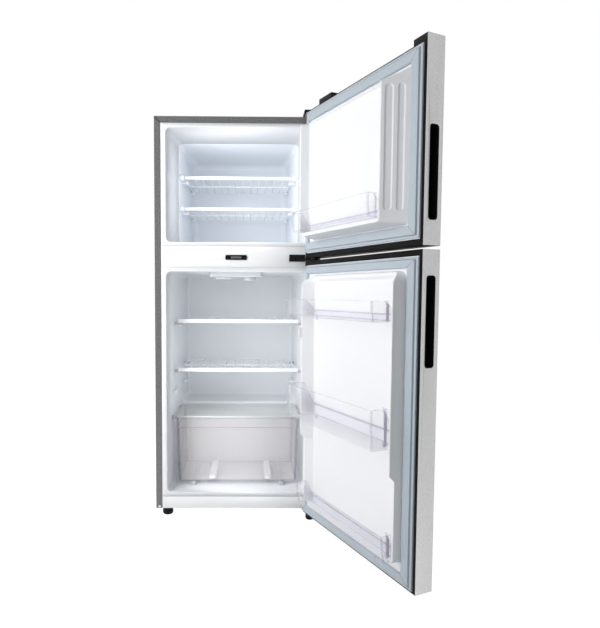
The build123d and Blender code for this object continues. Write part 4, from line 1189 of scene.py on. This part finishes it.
def door_bin(name, node, start, end, tongue, back, step_in, front, low, height, draft):
    """Tray with a rolled rim, a lower tongue behind and a front wall that leans out."""
    top = low + height
    bead = 0.0012
    bead_height, bead_blend = 0.0050, 0.0065
    foot, ease = 0.0022, 0.0007
    edge_round = 0.0008
    tongue_drop = 0.7
    floor_zone = 0.006
    front_round, step_round, back_corner = 0.0045, 0.0015, 0.003
    rows = [
        (low, foot),
        (low + ease, edge_round),
        (low + foot, 0.0),
        (low + height * 0.5, 0.0),
        (top - edge_round, 0.0),
        (top, edge_round),
        (top, bin_wall + bead - edge_round),
        (top - edge_round, bin_wall + bead),
        (top - bead_height, bin_wall + bead),
        (top - bead_blend, bin_wall),
        (low + height * 0.5, bin_wall),
        (low + bin_wall + foot, bin_wall),
        (low + bin_wall + ease, bin_wall + edge_round),
        (low + bin_wall, bin_wall + foot),
    ]
    rings = []
    steps = 3
    for z, inset in rows:
        lean = draft * ((top - z) / height) ** 2
        reach = front - lean - inset
        corners = (
            (start + inset, reach, front_round),
            (end - inset, reach, front_round),
            (end - inset, step_in + inset, step_round),
            (end - inset - tongue, step_in + inset, step_round),
            (end - inset - tongue, back + inset, back_corner),
            (start + inset + tongue, back + inset, back_corner),
            (start + inset + tongue, step_in + inset, step_round),
            (start + inset, step_in + inset, step_round),
        )
        ring = []
        for spot in rounded_outline(corners, steps):
            level = z
            if z > low + floor_zone:
                behind = max(0.0, min(1.0, (step_in - spot.y) / (step_in - back)))
                level = low + (z - low) * (1 - tongue_drop * behind)
            ring.append(door_point(spot.x, spot.y, level))
        rings.append(ring)
    # The foot, the rim and the upright corners in front are seen edge on.
    edge_rows = {0, 1, 4, 5, 6}
    choices = [
        1 if row in edge_rows or (here % (steps + 1) < steps and here // (steps + 1) < 3) else 0
        for row in range(len(rings) - 1)
        for here in range(len(rings[0]))
    ] + [0, 0]
    make_piece(
        name,
        skin_over(rings),
        [bin_clear, bin_edge],
        f"{node}_body",
        stands_for=[node],
        choices=choices,
        sharp=50,
    )


door_bin(
    "freezer_tray",
    "freezer_bin",
    start=0.072,
    end=0.447,
    tongue=0.0093,
    back=0.0323,
    step_in=0.0603,
    front=0.090,
    low=0.9276,
    height=0.057,
    draft=0.004,
)
for shelf, step_in, front, low, height, draft in (
    ("egg", 0.0403, 0.098, egg_low, 0.051, 0.004),
    ("bottle", 0.0403, 0.094, bottle_low, 0.100, 0.004),
    ("sauce", 0.0263, 0.058, 0.0852, 0.070, 0.010),
):
    door_bin(
        f"{shelf}_tray",
        f"{shelf}_shelf",
        start=0.054,
        end=0.480,
        tongue=0.0183,
        back=0.0043,
        step_in=step_in,
        front=front,
        low=low,
        height=height,
        draft=draft,
    )

# Studio: a white floor and surround, three broad soft lamps in front and to the left, and
# a weak fill lamp at the mouth of each compartment that shines into it.
floor_size = 12.0
floor_glow = 0.82
surround_light, surround_seen = 0.21, 1.0
bpy.ops.mesh.primitive_plane_add(size=floor_size, location=(0, 0, 0))
floor = bpy.context.object
floor.name = "studio_floor"
floor_paint, nodes, links, shader = new_material("studio floor")
shader.inputs["Base Color"].default_value = (0.86, 0.86, 0.86, 1)
shader.inputs["Roughness"].default_value = 0.9
shader.inputs["Specular IOR Level"].default_value = 0.1
shader.inputs["Emission Color"].default_value = (1, 1, 1, 1)
ray = nodes.new("ShaderNodeLightPath").outputs
seen = worked_out(nodes, links, "MAXIMUM", ray["Is Camera Ray"], ray["Is Glossy Ray"])
glow = worked_out(nodes, links, "MULTIPLY", seen, floor_glow)
links.new(glow, shader.inputs["Emission Strength"])
floor.data.materials.append(floor_paint)

surround = bpy.data.worlds.new("surround")
surround.use_nodes = True
bpy.context.scene.world = surround
nodes, links = surround.node_tree.nodes, surround.node_tree.links
backdrop = nodes["Background"]
backdrop.inputs["Color"].default_value = (1, 1, 1, 1)
ray = nodes.new("ShaderNodeLightPath").outputs
seen = worked_out(nodes, links, "MAXIMUM", ray["Is Camera Ray"], ray["Is Transmission Ray"])
shown = worked_out(nodes, links, "MAXIMUM", seen, ray["Is Glossy Ray"])
level = nodes.new("ShaderNodeMapRange")
level.inputs["To Min"].default_value = surround_light
level.inputs["To Max"].default_value = surround_seen
links.new(shown, level.inputs["Value"])
links.new(level.outputs["Result"], backdrop.inputs["Strength"])


def soft_lamp(name, place, aim, width, height, power):
    """Broad lamp that looks at a point and isn't itself seen or mirrored."""
    lamp = bpy.data.lights.new(name, "AREA")
    lamp.shape = "RECTANGLE"
    lamp.size = width
    lamp.size_y = height
    lamp.energy = power
    holder = bpy.data.objects.new(name, lamp)
    holder.location = place
    holder.rotation_euler = (Vector(aim) - Vector(place)).to_track_quat("-Z", "Y").to_euler()
    holder.visible_camera = False
    holder.visible_glossy = False
    bpy.context.collection.objects.link(holder)


soft_lamp("left_lamp", (-0.85, -0.64, 1.00), (0.1, 0.2, 0.92), width=0.6, height=1.3, power=11.0)
soft_lamp("door_lamp", (-1.7, -0.6, 1.15), (0.3, -0.3, 0.75), width=1.2, height=1.4, power=5.5)
soft_lamp("front_lamp", (-1.3, -2.0, 1.5), (0.0, 0.0, 0.75), width=1.6, height=1.6, power=13.0)
soft_lamp("freezer_fill", (-0.04, -0.025, 1.08), (0.06, 0.47, 1.08), width=0.28, height=0.28, power=0.55)
soft_lamp("fridge_fill", (-0.04, -0.02, 0.44), (0.10, 0.47, 0.44), width=0.26, height=0.66, power=0.82)

# Camera: in front of the cabinet and a little above its middle, looking down by three
# degrees, with the photograph's framing.
photo_height = 628
focal_px = 533.0
eye_place = (0.037308, -1.747361, 0.744433)
yaw, pitch, roll = math.radians(0.543), math.radians(3.383), math.radians(-0.264)
look = Vector((math.sin(yaw) * math.cos(pitch), math.cos(yaw) * math.cos(pitch), -math.sin(pitch)))
flat_right = Vector((math.cos(yaw), -math.sin(yaw), 0))
flat_down = look.cross(flat_right)
right = flat_right * math.cos(roll) + flat_down * math.sin(roll)
down = flat_down * math.cos(roll) - flat_right * math.sin(roll)
eye = bpy.data.cameras.new("camera")
eye.sensor_width = 36.0
eye.lens = focal_px * eye.sensor_width / photo_height
eye.shift_x = 0.07345
eye.shift_y = 0.01688
viewer = bpy.data.objects.new("camera", eye)
turn = Matrix((right, -down, -look)).transposed().to_4x4()
viewer.matrix_world = Matrix.Translation(eye_place) @ turn
bpy.context.collection.objects.link(viewer)
bpy.context.scene.camera = viewer
bpy.context.scene.view_settings.view_transform = "Standard"
